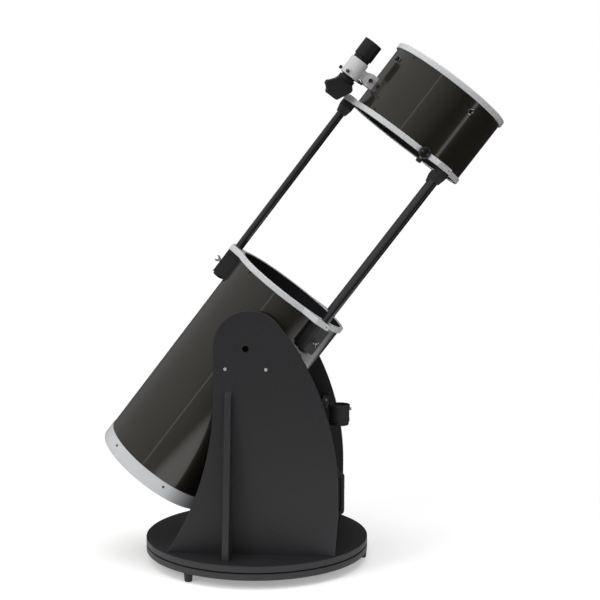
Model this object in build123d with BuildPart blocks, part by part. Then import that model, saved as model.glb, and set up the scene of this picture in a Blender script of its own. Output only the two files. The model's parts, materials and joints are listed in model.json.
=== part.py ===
from build123d import *
from math import asin, cos, radians, sin, sqrt
import os

# A 12 inch collapsible-truss dobsonian telescope.  Millimetres, +Z up.
# The origin is on the floor under the azimuth bolt, +X is where the tube points,
# and the altitude axis lies along Y.

# ---------------------------------------------------------------- driving dimensions
BOARD = 18.0                 # thickness of every board of the mount
BASE_R = 322.5               # ground board and turntable radius
FOOT_H = 24.4                # height of a rubber foot
FOOT_CIRCLE_R = 309.0
FOOT_TURN = -1.0             # where the first foot is, about Z
PAD_GAP = 3.0                # gap between the two round boards
CLEAR = 0.3                  # gap between pieces that move past each other

GROUND_Z = FOOT_H
GROUND_TOP = GROUND_Z + BOARD
TABLE_Z = GROUND_TOP + PAD_GAP
TABLE_TOP = TABLE_Z + BOARD

SIDE_IN = 197.0              # inner face of a side board, from the middle
SIDE_OUT = SIDE_IN + BOARD
FRONT_X = 182.0              # inner face of the front board
FRONT_TOP = 440.0            # height of the front board's upper edge

ALT_X, ALT_Z = -8.0, 632.0   # altitude axis
ALTITUDE = 52.6              # angle of the tube above the horizon
TRUNNION_R = 67.0
HANDLE_HOLE_R = 9.25         # hole in each side board for the tension handle

TUBE_R = 178.0               # outside of both steel tubes
WALL = 1.5
RING_R = 183.5               # outside of the cast rings
LIP_R = 174.0                # clear opening of the cast rings
LIP_T = 2.5                  # each ring's lip covers the cut edge of its tube
STRUT_R = 11.75
STRUT_C = 197.3              # distance of a strut from the tube's axis
STRUT_ANGLES = {"top": 0.0, "right": 129.9, "left": -129.9}
EAR_ANGLES = {"top": 0.0, "right": 126.0, "left": -126.0}
EAR_R = 217.0                # how far out a cast ring's ears reach

# stations along the tube's axis, from the altitude axis
REAR_END, REAR_EDGE = -488.4, -444.9
MAIN_RING, MAIN_TOP = 168.0, 184.5
CAGE_RING, CAGE_LOW = 704.0, 720.0
CAGE_HIGH, CAGE_END = 903.5, 920.3
CLAMP_LOW = 89.0             # lower end of a strut clamp's block
SPIDER_S = 873.0
SECONDARY_S = 797.0
FOCUSER_ANGLE = -60.0
FINDER_ANGLE = 15.0
FINDER_C = 246.0             # distance of the finder's axis from the tube's axis

TUBE_AXIS = Vector(cos(radians(ALTITUDE)), 0, sin(radians(ALTITUDE)))
TUBE_UP = Vector(-sin(radians(ALTITUDE)), 0, cos(radians(ALTITUDE)))
TUBE_SIDE = Vector(0, -1, 0)
ALT_POINT = Vector(ALT_X, 0, ALT_Z)


# ---------------------------------------------------------------- planes on the tube
def radial(angle):
    """Unit vector away from the tube's axis; 0 is up, 90 is the -Y side."""
    return TUBE_UP * cos(radians(angle)) + TUBE_SIDE * sin(radians(angle))


def tube_point(station, angle=0.0, distance=0.0):
    return ALT_POINT + TUBE_AXIS * station + radial(angle) * distance


def across(station, angle=0.0, distance=0.0):
    """Plane square to the tube's axis, its x pointing outward at the angle."""
    return Plane(tube_point(station, angle, distance), x_dir=radial(angle), z_dir=TUBE_AXIS)


def outward(station, angle, distance):
    """Plane that faces outward at the angle, its x along the tube."""
    return Plane(tube_point(station, angle, distance), x_dir=TUBE_AXIS, z_dir=radial(angle))


def disc(plane, radius, height, bore=0.0):
    """A plain round blank with an optional bore, standing on the plane."""
    with BuildPart() as blank:
        with BuildSketch(plane):
            Circle(radius)
            if bore:
                Circle(bore, mode=Mode.SUBTRACT)
        extrude(amount=height)
    return blank.part


def turned(plane, outline):
    """A turned piece: the outline is (radius, height) pairs about the plane's z."""
    section = Plane(plane.origin, x_dir=plane.x_dir, z_dir=plane.x_dir.cross(plane.z_dir))
    with BuildPart() as piece:
        with BuildSketch(section):
            with BuildLine():
                Polyline([(r, h) for r, h in outline], close=True)
            make_face()
        revolve(axis=Axis(plane.origin, plane.z_dir))
    return piece.part


def knurled(plane, radius, height, lobes, depth, bore=0.0, edge=0.6):
    """A round knob with scooped grips, standing on the plane."""
    with BuildPart() as knob:
        with BuildSketch(plane):
            Circle(radius)
            with PolarLocations(radius + depth * 0.6, lobes):
                Circle(depth * 1.6, mode=Mode.SUBTRACT)
            if bore:
                Circle(bore, mode=Mode.SUBTRACT)
        extrude(amount=height)
        chamfer(knob.faces().sort_by(Axis(plane.origin, plane.z_dir))[-1].outer_wire().edges(), edge)
    return knob.part


def joined(*solids):
    """Several solids that share one node."""
    return Compound(children=list(solids))


def save(name, piece):
    piece.label = name
    export_step(piece, f"parts/{name}.step")


os.makedirs("parts", exist_ok=True)

# ---------------------------------------------------------------- ground base
with BuildPart() as ground_board:
    with BuildSketch(Plane.XY.offset(GROUND_Z)):
        Circle(BASE_R)
    extrude(amount=BOARD)
    chamfer(ground_board.edges().filter_by(GeomType.CIRCLE), 1.2)
    Hole(6.2)
save("ground_board", ground_board.part)

FOOT_R = 10.5
with BuildPart() as feet:
    with BuildSketch(Plane.XY):
        with PolarLocations(FOOT_CIRCLE_R, 3, start_angle=FOOT_TURN):
            Circle(FOOT_R)
    extrude(amount=FOOT_H, taper=-4.7)
    fillet(feet.edges().group_by(Axis.Z)[0], 2.4)
    with BuildSketch(Plane.XY):
        with PolarLocations(FOOT_CIRCLE_R, 3, start_angle=FOOT_TURN):
            Circle(4)
    extrude(amount=9, mode=Mode.SUBTRACT)
save("feet", feet.part)

with BuildPart() as azimuth_pads:
    with BuildSketch(Plane.XY.offset(GROUND_TOP)):
        with PolarLocations(235, 3, start_angle=60):
            SlotOverall(52, 24, rotation=90)
    extrude(amount=PAD_GAP - CLEAR)
save("azimuth_pads", azimuth_pads.part)

BOLT_R = 6.0
BUSH_FLANGE = 3.0
NUT_Z = TABLE_TOP + BUSH_FLANGE + CLEAR
with BuildPart() as azimuth_bolt:
    with BuildSketch(Plane.XY.offset(GROUND_Z - 7.5)):
        RegularPolygon(11, 6)
    extrude(amount=7.5)
    with BuildSketch(Plane.XY.offset(GROUND_Z)):
        Circle(BOLT_R)
    extrude(amount=NUT_Z + 15 - GROUND_Z)
    chamfer(azimuth_bolt.edges().group_by(Axis.Z)[-1], 1)
save("azimuth_bolt", azimuth_bolt.part)

with BuildPart() as azimuth_nut:
    with BuildSketch(Plane.XY.offset(NUT_Z)):
        Circle(15)
        Circle(BOLT_R, mode=Mode.SUBTRACT)
    extrude(amount=2)
    with BuildSketch(Plane.XY.offset(NUT_Z + 2)):
        RegularPolygon(11, 6)
        Circle(BOLT_R, mode=Mode.SUBTRACT)
    extrude(amount=10)
save("azimuth_nut", azimuth_nut.part)

# ---------------------------------------------------------------- turntable and rocker box
BUSH_R = 12.0
with BuildPart() as turntable_board:
    with BuildSketch(Plane.XY.offset(TABLE_Z)):
        Circle(BASE_R)
    extrude(amount=BOARD)
    chamfer(turntable_board.edges().filter_by(GeomType.CIRCLE), 1.2)
    Hole(BUSH_R)
save("turntable_board", turntable_board.part)

with BuildPart() as azimuth_bush:
    with BuildSketch(Plane.XY.offset(TABLE_Z)):
        Circle(BUSH_R)
        Circle(BOLT_R + 0.05, mode=Mode.SUBTRACT)
    extrude(amount=BOARD)
    with BuildSketch(Plane.XY.offset(TABLE_TOP)):
        Circle(20)
        Circle(BOLT_R + 0.05, mode=Mode.SUBTRACT)
    extrude(amount=BUSH_FLANGE)
save("azimuth_bush", azimuth_bush.part)

# Outline of a side board: a round top, an upright rear edge that sweeps out to the base,
# and a long convex front edge that comes back to the upright and tucks in at the foot.
TOP_C = (3.0, 636.0)
TOP_R = 100.0
REAR_X = TOP_C[0] - TOP_R
REAR_BEND_Z = 500.0
REAR_FOOT_X = -228.0
FRONT_MAX_X = 245.0
FRONT_BEND_Z = 235.0
TUCK_Z = 164.0
FRONT_FOOT_X = 237.0
REAR_SWEEP_R = ((REAR_X - REAR_FOOT_X) ** 2 + (REAR_BEND_Z - TABLE_TOP) ** 2) / (2 * (REAR_X - REAR_FOOT_X))
FRONT_RUN = FRONT_MAX_X - TOP_C[0]
FRONT_RISE = TOP_C[1] - FRONT_BEND_Z
FRONT_SWEEP_R = (FRONT_RUN ** 2 + FRONT_RISE ** 2 - TOP_R ** 2) / (2 * (FRONT_RUN - TOP_R))
SWEEP_C = (FRONT_MAX_X - FRONT_SWEEP_R, FRONT_BEND_Z)
TOUCH = asin(FRONT_RISE / (FRONT_SWEEP_R - TOP_R))   # where the front sweep leaves the round top
PAD_R = 11.7
PAD_C = TRUNNION_R + 12.0
PAD_SPOTS = [(ALT_X + side * PAD_C * sin(radians(45)), ALT_Z - PAD_C * cos(radians(45))) for side in (-1, 1)]


def on_circle(centre, radius, angle):
    return (centre[0] + radius * cos(angle), centre[1] + radius * sin(angle))


def rear_sweep_point(z):
    drop = REAR_BEND_Z - z
    return (REAR_X - REAR_SWEEP_R + sqrt(REAR_SWEEP_R ** 2 - drop ** 2), z)


def side_board(outer_y):
    """A side board with its outer face at outer_y, built inward."""
    plane = Plane((0, outer_y, 0), x_dir=(1, 0, 0), z_dir=(0, -1, 0))
    inward = -BOARD if outer_y < 0 else BOARD
    with BuildPart() as board:
        with BuildSketch(plane):
            with BuildLine():
                Line((REAR_FOOT_X, TABLE_TOP), (FRONT_FOOT_X, TABLE_TOP))
                Line((FRONT_FOOT_X, TABLE_TOP), (FRONT_MAX_X, TUCK_Z))
                Line((FRONT_MAX_X, TUCK_Z), (FRONT_MAX_X, FRONT_BEND_Z))
                ThreePointArc(
                    (FRONT_MAX_X, FRONT_BEND_Z),
                    on_circle(SWEEP_C, FRONT_SWEEP_R, TOUCH / 2),
                    on_circle(SWEEP_C, FRONT_SWEEP_R, TOUCH),
                )
                ThreePointArc(
                    on_circle(TOP_C, TOP_R, TOUCH),
                    on_circle(TOP_C, TOP_R, radians(100)),
                    (REAR_X, TOP_C[1]),
                )
                Line((REAR_X, TOP_C[1]), (REAR_X, REAR_BEND_Z))
                ThreePointArc(
                    (REAR_X, REAR_BEND_Z), rear_sweep_point(280), (REAR_FOOT_X, TABLE_TOP)
                )
            make_face()
            with Locations((ALT_X, ALT_Z)):
                Circle(HANDLE_HOLE_R, mode=Mode.SUBTRACT)
            with Locations(*PAD_SPOTS):
                Circle(2.6, mode=Mode.SUBTRACT)
        extrude(amount=inward)
        rim = board.faces().sort_by(Axis.Y)[0 if outer_y < 0 else -1].outer_wire().edges()
        chamfer([e for e in rim if e.center().Z > TABLE_TOP + 1], 1.0)
    return board.part


side_board_right = side_board(-SIDE_OUT)
save("side_board_right", side_board_right)
side_board_left = side_board(SIDE_OUT)
save("side_board_left", side_board_left)

with BuildPart() as front_board:
    with BuildSketch(Plane.YZ.offset(FRONT_X)):
        with Locations((0, (TABLE_TOP + FRONT_TOP) / 2)):
            Rectangle(2 * SIDE_IN, FRONT_TOP - TABLE_TOP)
    extrude(amount=BOARD)
    chamfer(front_board.edges().group_by(Axis.Z)[-1].filter_by(Axis.Y), 1.5)
save("front_board", front_board.part)

GUSSET_X = -55.0
GUSSET_TOP = 515.0
GUSSET_DEPTH = 73.0
with BuildPart() as gussets:
    for side in (-1, 1):
        with BuildSketch(Plane((GUSSET_X - BOARD / 2, 0, 0), x_dir=(0, side, 0), z_dir=(side, 0, 0))):
            with BuildLine():
                Polyline(
                    (SIDE_OUT, TABLE_TOP), (SIDE_OUT + GUSSET_DEPTH, TABLE_TOP),
                    (SIDE_OUT + GUSSET_DEPTH, TABLE_TOP + 25), (SIDE_OUT + 14, GUSSET_TOP - 16),
                    (SIDE_OUT, GUSSET_TOP), close=True,
                )
            make_face()
        extrude(amount=side * BOARD)
    chamfer([e for e in gussets.edges() if abs(e.center().Y) > SIDE_OUT + 2 and e.length > 100], 0.8)
save("gussets", gussets.part)

# nylon pads that carry the trunnions, on the inner face of each side board
PAD_LENGTH = 16.0
with BuildPart() as altitude_pads:
    for side in (-1, 1):
        with BuildSketch(Plane((0, side * SIDE_IN, 0), x_dir=(1, 0, 0), z_dir=(0, -1, 0))):
            with Locations(*PAD_SPOTS):
                Circle(PAD_R)
                Circle(2.5, mode=Mode.SUBTRACT)
        extrude(amount=side * PAD_LENGTH)
save("altitude_pads", altitude_pads.part)

# ---------------------------------------------------------------- handle and eyepiece cup
FACE_X = FRONT_X + BOARD
HANDLE_FEET = (92.0, 296.0)
HANDLE_GRIP = (136.0, 232.0)
HANDLE_OUT = 250.0
HANDLE_WIDTH = 30.0
HANDLE_BAR = 11.0
with BuildPart() as carry_handle:
    with BuildSketch(Plane.XZ):
        with BuildLine():
            Polyline(
                (FACE_X, HANDLE_FEET[0] - 22), (FACE_X + 6, HANDLE_FEET[0] - 22), (FACE_X + 6, HANDLE_FEET[0]),
                (HANDLE_OUT + HANDLE_BAR / 2, HANDLE_GRIP[0] - 4), (HANDLE_OUT + HANDLE_BAR / 2, HANDLE_GRIP[1] + 4),
                (FACE_X + 6, HANDLE_FEET[1]), (FACE_X + 6, HANDLE_FEET[1] + 22), (FACE_X, HANDLE_FEET[1] + 22),
                (FACE_X, HANDLE_FEET[1] - 14), (HANDLE_OUT - HANDLE_BAR / 2, HANDLE_GRIP[1] - 4),
                (HANDLE_OUT - HANDLE_BAR / 2, HANDLE_GRIP[0] + 4), (FACE_X, HANDLE_FEET[0] + 14), close=True,
            )
        make_face()
    extrude(amount=HANDLE_WIDTH / 2, both=True)
    fillet([e for e in carry_handle.edges().filter_by(Axis.Y) if e.center().X > HANDLE_OUT - 12], 5)
    fillet([e for e in carry_handle.edges() if abs(e.center().Y) > 14.9 and e.center().X > FACE_X + 12], 3)
    with Locations(*[Plane((FACE_X + 6, 0, z), z_dir=(1, 0, 0)) for z in (HANDLE_FEET[0] - 12, HANDLE_FEET[1] + 12)]):
        Hole(2.6, depth=8)
save("carry_handle", carry_handle.part)

CUP_Y = -110.0
CUP_R = 28.8
CUP_BORE = 25.6              # takes a 2 inch eyepiece barrel
CUP_X = 243.0
CUP_Z, CUP_TOP = 409.0, 467.0
CUP_RIM = 8.0
BRACKET_T = 6.0
BRACKET_SCREWS = (386.0, 478.0)
with BuildPart() as cup_bracket:
    with BuildSketch(Plane.YZ.offset(FACE_X)):
        with Locations((CUP_Y, 420)):
            Rectangle(42, 100)
        with Locations((CUP_Y, 470)):
            Circle(21)
    extrude(amount=BRACKET_T)
    arm_start, arm_end = FACE_X + BRACKET_T - 1, CUP_X - CUP_R + 5
    with BuildSketch(Plane.XY.offset(CUP_Z + 12)):
        with Locations(((arm_start + arm_end) / 2, CUP_Y)):
            Rectangle(arm_end - arm_start, 26)
        with Locations((CUP_X, CUP_Y)):
            Circle(CUP_R + 0.7, mode=Mode.SUBTRACT)
    extrude(amount=32)
    with Locations(*[Plane((FACE_X + BRACKET_T, CUP_Y, z), z_dir=(1, 0, 0)) for z in BRACKET_SCREWS]):
        Hole(2.6, depth=BRACKET_T)
save("cup_bracket", cup_bracket.part)

CUP_CENTRE = Plane((CUP_X, CUP_Y, CUP_Z))
CUP_H = CUP_TOP - CUP_Z
CUP_FLOOR = 3.0
CUP_SCREW_Z = CUP_TOP - CUP_RIM - 5
cup_body = turned(CUP_CENTRE, [
    (0, 0), (CUP_R - 3, 0), (CUP_R - 1.5, 1.5), (CUP_R - 1.5, 9), (CUP_R + 0.7, 10), (CUP_R + 0.7, 19),
    (CUP_R, 20), (CUP_R, CUP_H - CUP_RIM), (CUP_R + 1.6, CUP_H - CUP_RIM), (CUP_R + 1.6, CUP_H - 1),
    (CUP_R + 0.6, CUP_H), (CUP_BORE, CUP_H), (CUP_BORE, CUP_FLOOR), (0, CUP_FLOOR),
])
with BuildPart() as eyepiece_cup:
    add(cup_body)
    with BuildSketch(Plane((CUP_X, CUP_Y, CUP_SCREW_Z), x_dir=(0, 1, 0), z_dir=(1, 0, 0))):
        Circle(2.05)
    extrude(amount=CUP_R + 2, mode=Mode.SUBTRACT)
save("eyepiece_cup", eyepiece_cup.part)

CUP_SCREW = Plane((CUP_X + CUP_BORE + 0.4, CUP_Y, CUP_SCREW_Z), x_dir=(0, 1, 0), z_dir=(1, 0, 0))
cup_thumbscrew = turned(CUP_SCREW, [
    (0, 0), (2, 0), (2, 3.6), (3.8, 3.6), (4.2, 4), (4.2, 8.4), (3.8, 8.8), (0, 8.8),
])
save("cup_thumbscrew", cup_thumbscrew)


def wood_screw(plane, length):
    """A cross-head wood screw with a domed head, its head on the plane and its shank behind."""
    return turned(plane, [
        (0, -length), (1, -length), (2.4, -length + 4), (2.4, 0), (4.6, 0), (4.2, 1.5), (2.2, 2.6), (0, 2.9),
    ])


screws = []
for side in (-1, 1):
    for x, z in PAD_SPOTS:
        screws.append(wood_screw(Plane((x, side * SIDE_OUT, z), x_dir=(1, 0, 0), z_dir=(0, side, 0)), 30))
for z in (HANDLE_FEET[0] - 12, HANDLE_FEET[1] + 12):
    screws.append(wood_screw(Plane((FACE_X + 6, 0, z), x_dir=(0, 1, 0), z_dir=(1, 0, 0)), 6))
for z in BRACKET_SCREWS:
    screws.append(wood_screw(Plane((FACE_X + BRACKET_T, CUP_Y, z), x_dir=(0, 1, 0), z_dir=(1, 0, 0)), 6))
save("panel_screws", joined(*screws))

# ---------------------------------------------------------------- optical tube
REAR_LAP = 18.0              # how far the tube goes into its rear ring
with BuildPart() as main_tube:
    with BuildSketch(across(REAR_EDGE - REAR_LAP)):
        Circle(TUBE_R)
        Circle(TUBE_R - WALL, mode=Mode.SUBTRACT)
    extrude(amount=MAIN_TOP - LIP_T - REAR_EDGE + REAR_LAP)
save("main_tube", main_tube.part)

CELL_ARM = 30.0
COLLIMATION_C = 118.0
COLLIMATION_ANGLES = (180.0, 60.0, -60.0)
rear_hoop = turned(across(REAR_END), [
    (162, 0), (174, 0), (177.5, 1.5), (179.5, 5), (180, 12), (180, 43.5),
    (TUBE_R, 43.5), (TUBE_R, 25.5), (172, 25.5), (172, 10), (162, 10),
])
with BuildPart() as rear_ring:
    add(rear_hoop)
    with BuildSketch(across(REAR_END + 2)):
        Circle(40)
        with PolarLocations(82, 3, start_angle=180):
            Rectangle(165, CELL_ARM)
        Circle(22, mode=Mode.SUBTRACT)
        with PolarLocations(COLLIMATION_C, 3, start_angle=180):
            Circle(3.05, mode=Mode.SUBTRACT)
    extrude(amount=8)
save("rear_ring", rear_ring.part)

# the plate that carries the mirror, held off the ring's arms by three springs
CARRIER_S = REAR_END + 26
with BuildPart() as mirror_carrier:
    with BuildSketch(across(CARRIER_S)):
        Circle(148)
        Circle(112, mode=Mode.SUBTRACT)
        with PolarLocations(66, 3, start_angle=180):
            Rectangle(132, 26)
        Circle(26)
        with PolarLocations(COLLIMATION_C, 3, start_angle=180):
            Circle(16)
            Circle(3.05, mode=Mode.SUBTRACT)
    extrude(amount=6)
save("mirror_carrier", mirror_carrier.part)

MIRROR_R = 152.5
MIRROR_T = 30.0
MIRROR_BACK = CARRIER_S + 6
FOCAL = 1500.0
SAG = MIRROR_R ** 2 / (4 * FOCAL)
with BuildPart() as primary_mirror:
    with BuildSketch(across(MIRROR_BACK)):
        Circle(MIRROR_R)
    extrude(amount=MIRROR_T)
    chamfer(primary_mirror.edges().filter_by(GeomType.CIRCLE), 1.5)
primary_mirror_glass = primary_mirror.part - Solid.make_sphere(
    2 * FOCAL, Plane(tube_point(MIRROR_BACK + MIRROR_T - SAG + 2 * FOCAL)), angle1=-90, angle2=90, angle3=360
)
save("primary_mirror", primary_mirror_glass)

clips = []
for angle in (0.0, 120.0, 240.0):
    with BuildPart() as clip:
        with BuildSketch(across(CARRIER_S, angle)):
            with Locations((MIRROR_R + 4.5, 0)):
                Rectangle(8, 22)
        extrude(amount=MIRROR_T + 6 + 3)
        with BuildSketch(across(MIRROR_BACK + MIRROR_T, angle)):
            with Locations((MIRROR_R - 1.5, 0)):
                Rectangle(12, 22)
        extrude(amount=3)
        with BuildSketch(across(CARRIER_S, angle)):
            with Locations((MIRROR_R - 1, 0)):
                Rectangle(10, 22)
            Circle(148, mode=Mode.SUBTRACT)
        extrude(amount=6)
    clips.append(clip.part)
save("mirror_clips", joined(*clips))

SPRING_LOW = REAR_END + 10
SPRING_H = CARRIER_S - SPRING_LOW
springs = []
for angle in COLLIMATION_ANGLES:
    springs.append(disc(across(SPRING_LOW, angle, COLLIMATION_C), 8, SPRING_H, 5))
save("collimation_springs", joined(*springs))

KNOB_HANG = 14.0
for number, angle in enumerate(COLLIMATION_ANGLES, 1):
    place = across(REAR_END + 2 - CLEAR, angle, COLLIMATION_C)
    down = Plane(place.origin, x_dir=place.x_dir, z_dir=-place.z_dir)
    with BuildPart() as knob:
        add(knurled(down, 15, KNOB_HANG, 10, 2.2))
        with BuildSketch(place):
            Circle(3)
        extrude(amount=CARRIER_S + 6 - REAR_END - 2)
    save(f"collimation_knob_{number}", knob.part)

# Each cast ring fits over the end of its tube, with a thin lip over the cut edge.
# Two of them carry an ear for each strut.
EAR_OUTLINE = ((150, -53), (175, -54), (EAR_R, -25), (EAR_R, 25), (175, 54), (150, 53))


def ring_outline():
    with BuildSketch() as outline:
        Circle(RING_R)
        for angle in EAR_ANGLES.values():
            with Locations(Location((0, 0, 0), (0, 0, angle))):
                with BuildSketch(mode=Mode.PRIVATE) as ear:
                    with BuildLine():
                        Polyline(*EAR_OUTLINE, close=True)
                    make_face()
                    fillet(ear.vertices().sort_by(Axis.X)[-2:], 9)
                add(ear.sketch)
        Circle(LIP_R, mode=Mode.SUBTRACT)
    return outline.sketch


def cast_ring(low, high, tube_low, hole):
    """A ring with ears, from station low to high; the tube's end starts inside it at tube_low."""
    with BuildPart() as ring:
        with BuildSketch(across(low)):
            add(ring_outline())
            for angle in STRUT_ANGLES.values():
                with PolarLocations(STRUT_C, 1, start_angle=angle):
                    Circle(hole, mode=Mode.SUBTRACT)
        extrude(amount=high - low)
        axis = Axis(tube_point(low), TUBE_AXIS)
        faces = ring.faces().sort_by(axis)
        chamfer(faces[-1].outer_wire().edges() + faces[0].outer_wire().edges(), 1.5)
        with BuildSketch(across(tube_low)):
            Circle(TUBE_R)
        extrude(amount=high - low - LIP_T, mode=Mode.SUBTRACT)
        for angle in STRUT_ANGLES.values():
            with BuildSketch(outward((low + high) / 2, angle, EAR_R + 1)):
                Circle(2.2)
            extrude(amount=-7, mode=Mode.SUBTRACT)
    return ring.part


main_ring = cast_ring(MAIN_RING, MAIN_TOP, MAIN_RING, STRUT_R + CLEAR)
save("main_ring", main_ring)

BLOCK_OUT = 215.5
COLLAR_LOW = CLAMP_LOW - 7
LOCK_S = 123.0
blocks = []
for angle in STRUT_ANGLES.values():
    with BuildPart() as block:
        with BuildSketch(across(CLAMP_LOW, angle)) as section:
            with Locations((186, 0)):
                Rectangle(2 * (BLOCK_OUT - 186), 42)
            fillet(section.vertices().sort_by(Axis(tube_point(CLAMP_LOW), radial(angle)))[-2:], 9)
            Circle(TUBE_R + 0.1, mode=Mode.SUBTRACT)
            with Locations((STRUT_C, 0)):
                Circle(STRUT_R + CLEAR, mode=Mode.SUBTRACT)
        extrude(amount=MAIN_RING - CLAMP_LOW)
        with BuildSketch(across(COLLAR_LOW, angle)):
            with Locations((STRUT_C, 0)):
                Circle(15)
                Circle(STRUT_R + CLEAR, mode=Mode.SUBTRACT)
        extrude(amount=CLAMP_LOW - COLLAR_LOW)
        with BuildSketch(across(CLAMP_LOW - 4, angle)):
            with Locations((178, 0)):
                Rectangle(10, 36)
            Circle(TUBE_R + 0.1, mode=Mode.SUBTRACT)
        extrude(amount=4)
        with BuildSketch(outward(LOCK_S, angle, BLOCK_OUT)):
            Circle(2.55)
        extrude(amount=-7, mode=Mode.SUBTRACT)
    blocks.append(block.part)
save("strut_clamps", joined(*blocks))

for name, angle in STRUT_ANGLES.items():
    with BuildPart() as wing_screw:
        add(turned(outward(LOCK_S, angle, BLOCK_OUT - 4), [
            (0, -2), (2.5, -2), (2.5, 4.5), (4, 4.5), (4.5, 9), (3.5, 12), (0, 12.5),
        ]))
        with BuildSketch(outward(LOCK_S, angle, BLOCK_OUT + 5.5)):
            with Locations((7, 0), (-7, 0)):
                Ellipse(5, 1.6)
        extrude(amount=10)
    save(f"strut_lock_{name}", wing_screw.part)

# ---------------------------------------------------------------- trunnions and tension handle
trunnion_parts = []
TRUNNION_FACE = 195.0
for side in (-1, 1):
    plane = Plane((ALT_X, side * 140, ALT_Z), x_dir=(1, 0, 0), z_dir=(0, side, 0))
    with BuildPart() as boss:
        with BuildSketch(plane):
            Circle(80)
        extrude(amount=180 - 140)
        with BuildSketch(plane):
            Circle(TRUNNION_R)
        extrude(amount=TRUNNION_FACE - 140)
        with BuildSketch(Plane((ALT_X, side * TRUNNION_FACE, ALT_Z), x_dir=(1, 0, 0), z_dir=(0, side, 0))):
            Circle(TRUNNION_R - 7)
            Circle(24, mode=Mode.SUBTRACT)
            with PolarLocations(44, 6):
                Rectangle(60, 5, mode=Mode.SUBTRACT)
        extrude(amount=-9, mode=Mode.SUBTRACT)
        with BuildSketch(Plane((ALT_X, side * TRUNNION_FACE, ALT_Z), x_dir=(1, 0, 0), z_dir=(0, side, 0))):
            Circle(8.05)
        extrude(amount=-14, mode=Mode.SUBTRACT)
        with BuildSketch(across(-120)):
            Circle(TUBE_R + 0.05)
        extrude(amount=240, mode=Mode.SUBTRACT)
    trunnion_parts.append(boss.part)
save("trunnions", joined(*trunnion_parts))

HANDLE_Y = SIDE_OUT + CLEAR
with BuildPart() as tension_handle:
    with BuildSketch(Plane((ALT_X, TRUNNION_FACE - 10, ALT_Z), x_dir=(1, 0, 0), z_dir=(0, 1, 0))):
        Circle(8)
    extrude(amount=HANDLE_Y - TRUNNION_FACE + 12)
    with BuildSketch(Plane((ALT_X, HANDLE_Y, ALT_Z), x_dir=(1, 0, 0), z_dir=(0, 1, 0))):
        Circle(21)
    extrude(amount=4)
    with BuildSketch(Plane((ALT_X, HANDLE_Y + 4, ALT_Z), x_dir=(1, 0, 0), z_dir=(0, 1, 0))):
        Circle(16)
    extrude(amount=16)
    with BuildSketch(Plane((ALT_X, HANDLE_Y + 20, ALT_Z), x_dir=(1, 0, 0), z_dir=(0, 1, 0))):
        SlotOverall(118, 24)
        Circle(17)
    extrude(amount=20)
    fillet(tension_handle.edges().group_by(Axis.Y)[-1], 6)
save("tension_handle", tension_handle.part)

# ---------------------------------------------------------------- upper cage
cage_ring_lower = cast_ring(CAGE_RING, CAGE_LOW, CAGE_RING + LIP_T, STRUT_R)
save("cage_ring_lower", cage_ring_lower)

with BuildPart() as cage_ring_upper:
    with BuildSketch(across(CAGE_HIGH)):
        Circle(RING_R)
        Circle(LIP_R, mode=Mode.SUBTRACT)
    extrude(amount=CAGE_END - CAGE_HIGH)
    far_face = cage_ring_upper.faces().sort_by(Axis(tube_point(CAGE_HIGH), TUBE_AXIS))[-1]
    fillet(far_face.outer_wire().edges(), 4)
    near_face = cage_ring_upper.faces().sort_by(Axis(tube_point(CAGE_HIGH), TUBE_AXIS))[0]
    chamfer(near_face.outer_wire().edges(), 1)
    with BuildSketch(across(CAGE_HIGH)):
        Circle(TUBE_R)
    extrude(amount=CAGE_END - CAGE_HIGH - LIP_T, mode=Mode.SUBTRACT)
save("cage_ring_upper", cage_ring_upper.part)

FOCUSER_BORE = 31.0
with BuildPart() as cage_tube:
    with BuildSketch(across(CAGE_RING + LIP_T)):
        Circle(TUBE_R)
        Circle(TUBE_R - WALL, mode=Mode.SUBTRACT)
    extrude(amount=CAGE_END - CAGE_RING - 2 * LIP_T)
    with BuildSketch(outward(SECONDARY_S, FOCUSER_ANGLE, 150)):
        Circle(FOCUSER_BORE)
    extrude(amount=40, mode=Mode.SUBTRACT)
save("cage_tube", cage_tube.part)

STRUT_LOW = COLLAR_LOW - 1
SOCKET_H = 38.0
SOCKET_R = 20.5
CAP_R = STRUT_R + 3.5
rods = []
sockets = []
for angle in STRUT_ANGLES.values():
    rods.append(disc(across(STRUT_LOW, angle, STRUT_C), STRUT_R, CAGE_LOW - STRUT_LOW))
    sockets.append(turned(across(CAGE_RING - SOCKET_H, angle, STRUT_C), [
        (STRUT_R, 0), (15, 0), (15.8, 3), (SOCKET_R, 22), (SOCKET_R, SOCKET_H), (STRUT_R, SOCKET_H),
    ]))
    sockets.append(turned(across(CAGE_LOW, angle, STRUT_C), [
        (0, 0), (CAP_R, 0), (CAP_R, 2.5), (CAP_R - 1, 3.5), (0, 3.5),
    ]))
save("struts", joined(*rods))
save("strut_sockets", joined(*sockets))

HUB_R = 20.0
VANE_ANGLES = (30.0, 120.0, 210.0, 300.0)
VANE_W = 32.0
with BuildPart() as spider_hub:
    with BuildSketch(across(SPIDER_S - VANE_W / 2)):
        Circle(HUB_R)
    extrude(amount=VANE_W)
    with BuildSketch(across(SECONDARY_S + 52)):
        Circle(5)
    extrude(amount=SPIDER_S - VANE_W / 2 - SECONDARY_S - 52)
save("spider_hub", spider_hub.part)

vanes = []
heads = []
for angle in VANE_ANGLES:
    with BuildPart() as vane:
        with BuildSketch(outward(SPIDER_S, angle, HUB_R)):
            Rectangle(VANE_W, 1.2)
        extrude(amount=TUBE_R - WALL - HUB_R)
    vanes.append(vane.part)
    heads.append(turned(outward(SPIDER_S, angle, TUBE_R), [
        (0, 0), (8.5, 0), (8.5, 1.5), (6.5, 1.5), (6.5, 7), (5.5, 8), (2.5, 8), (2.5, 11), (0, 11),
    ]))
save("spider_vanes", joined(*vanes))
save("vane_screws", joined(*heads))

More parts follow.
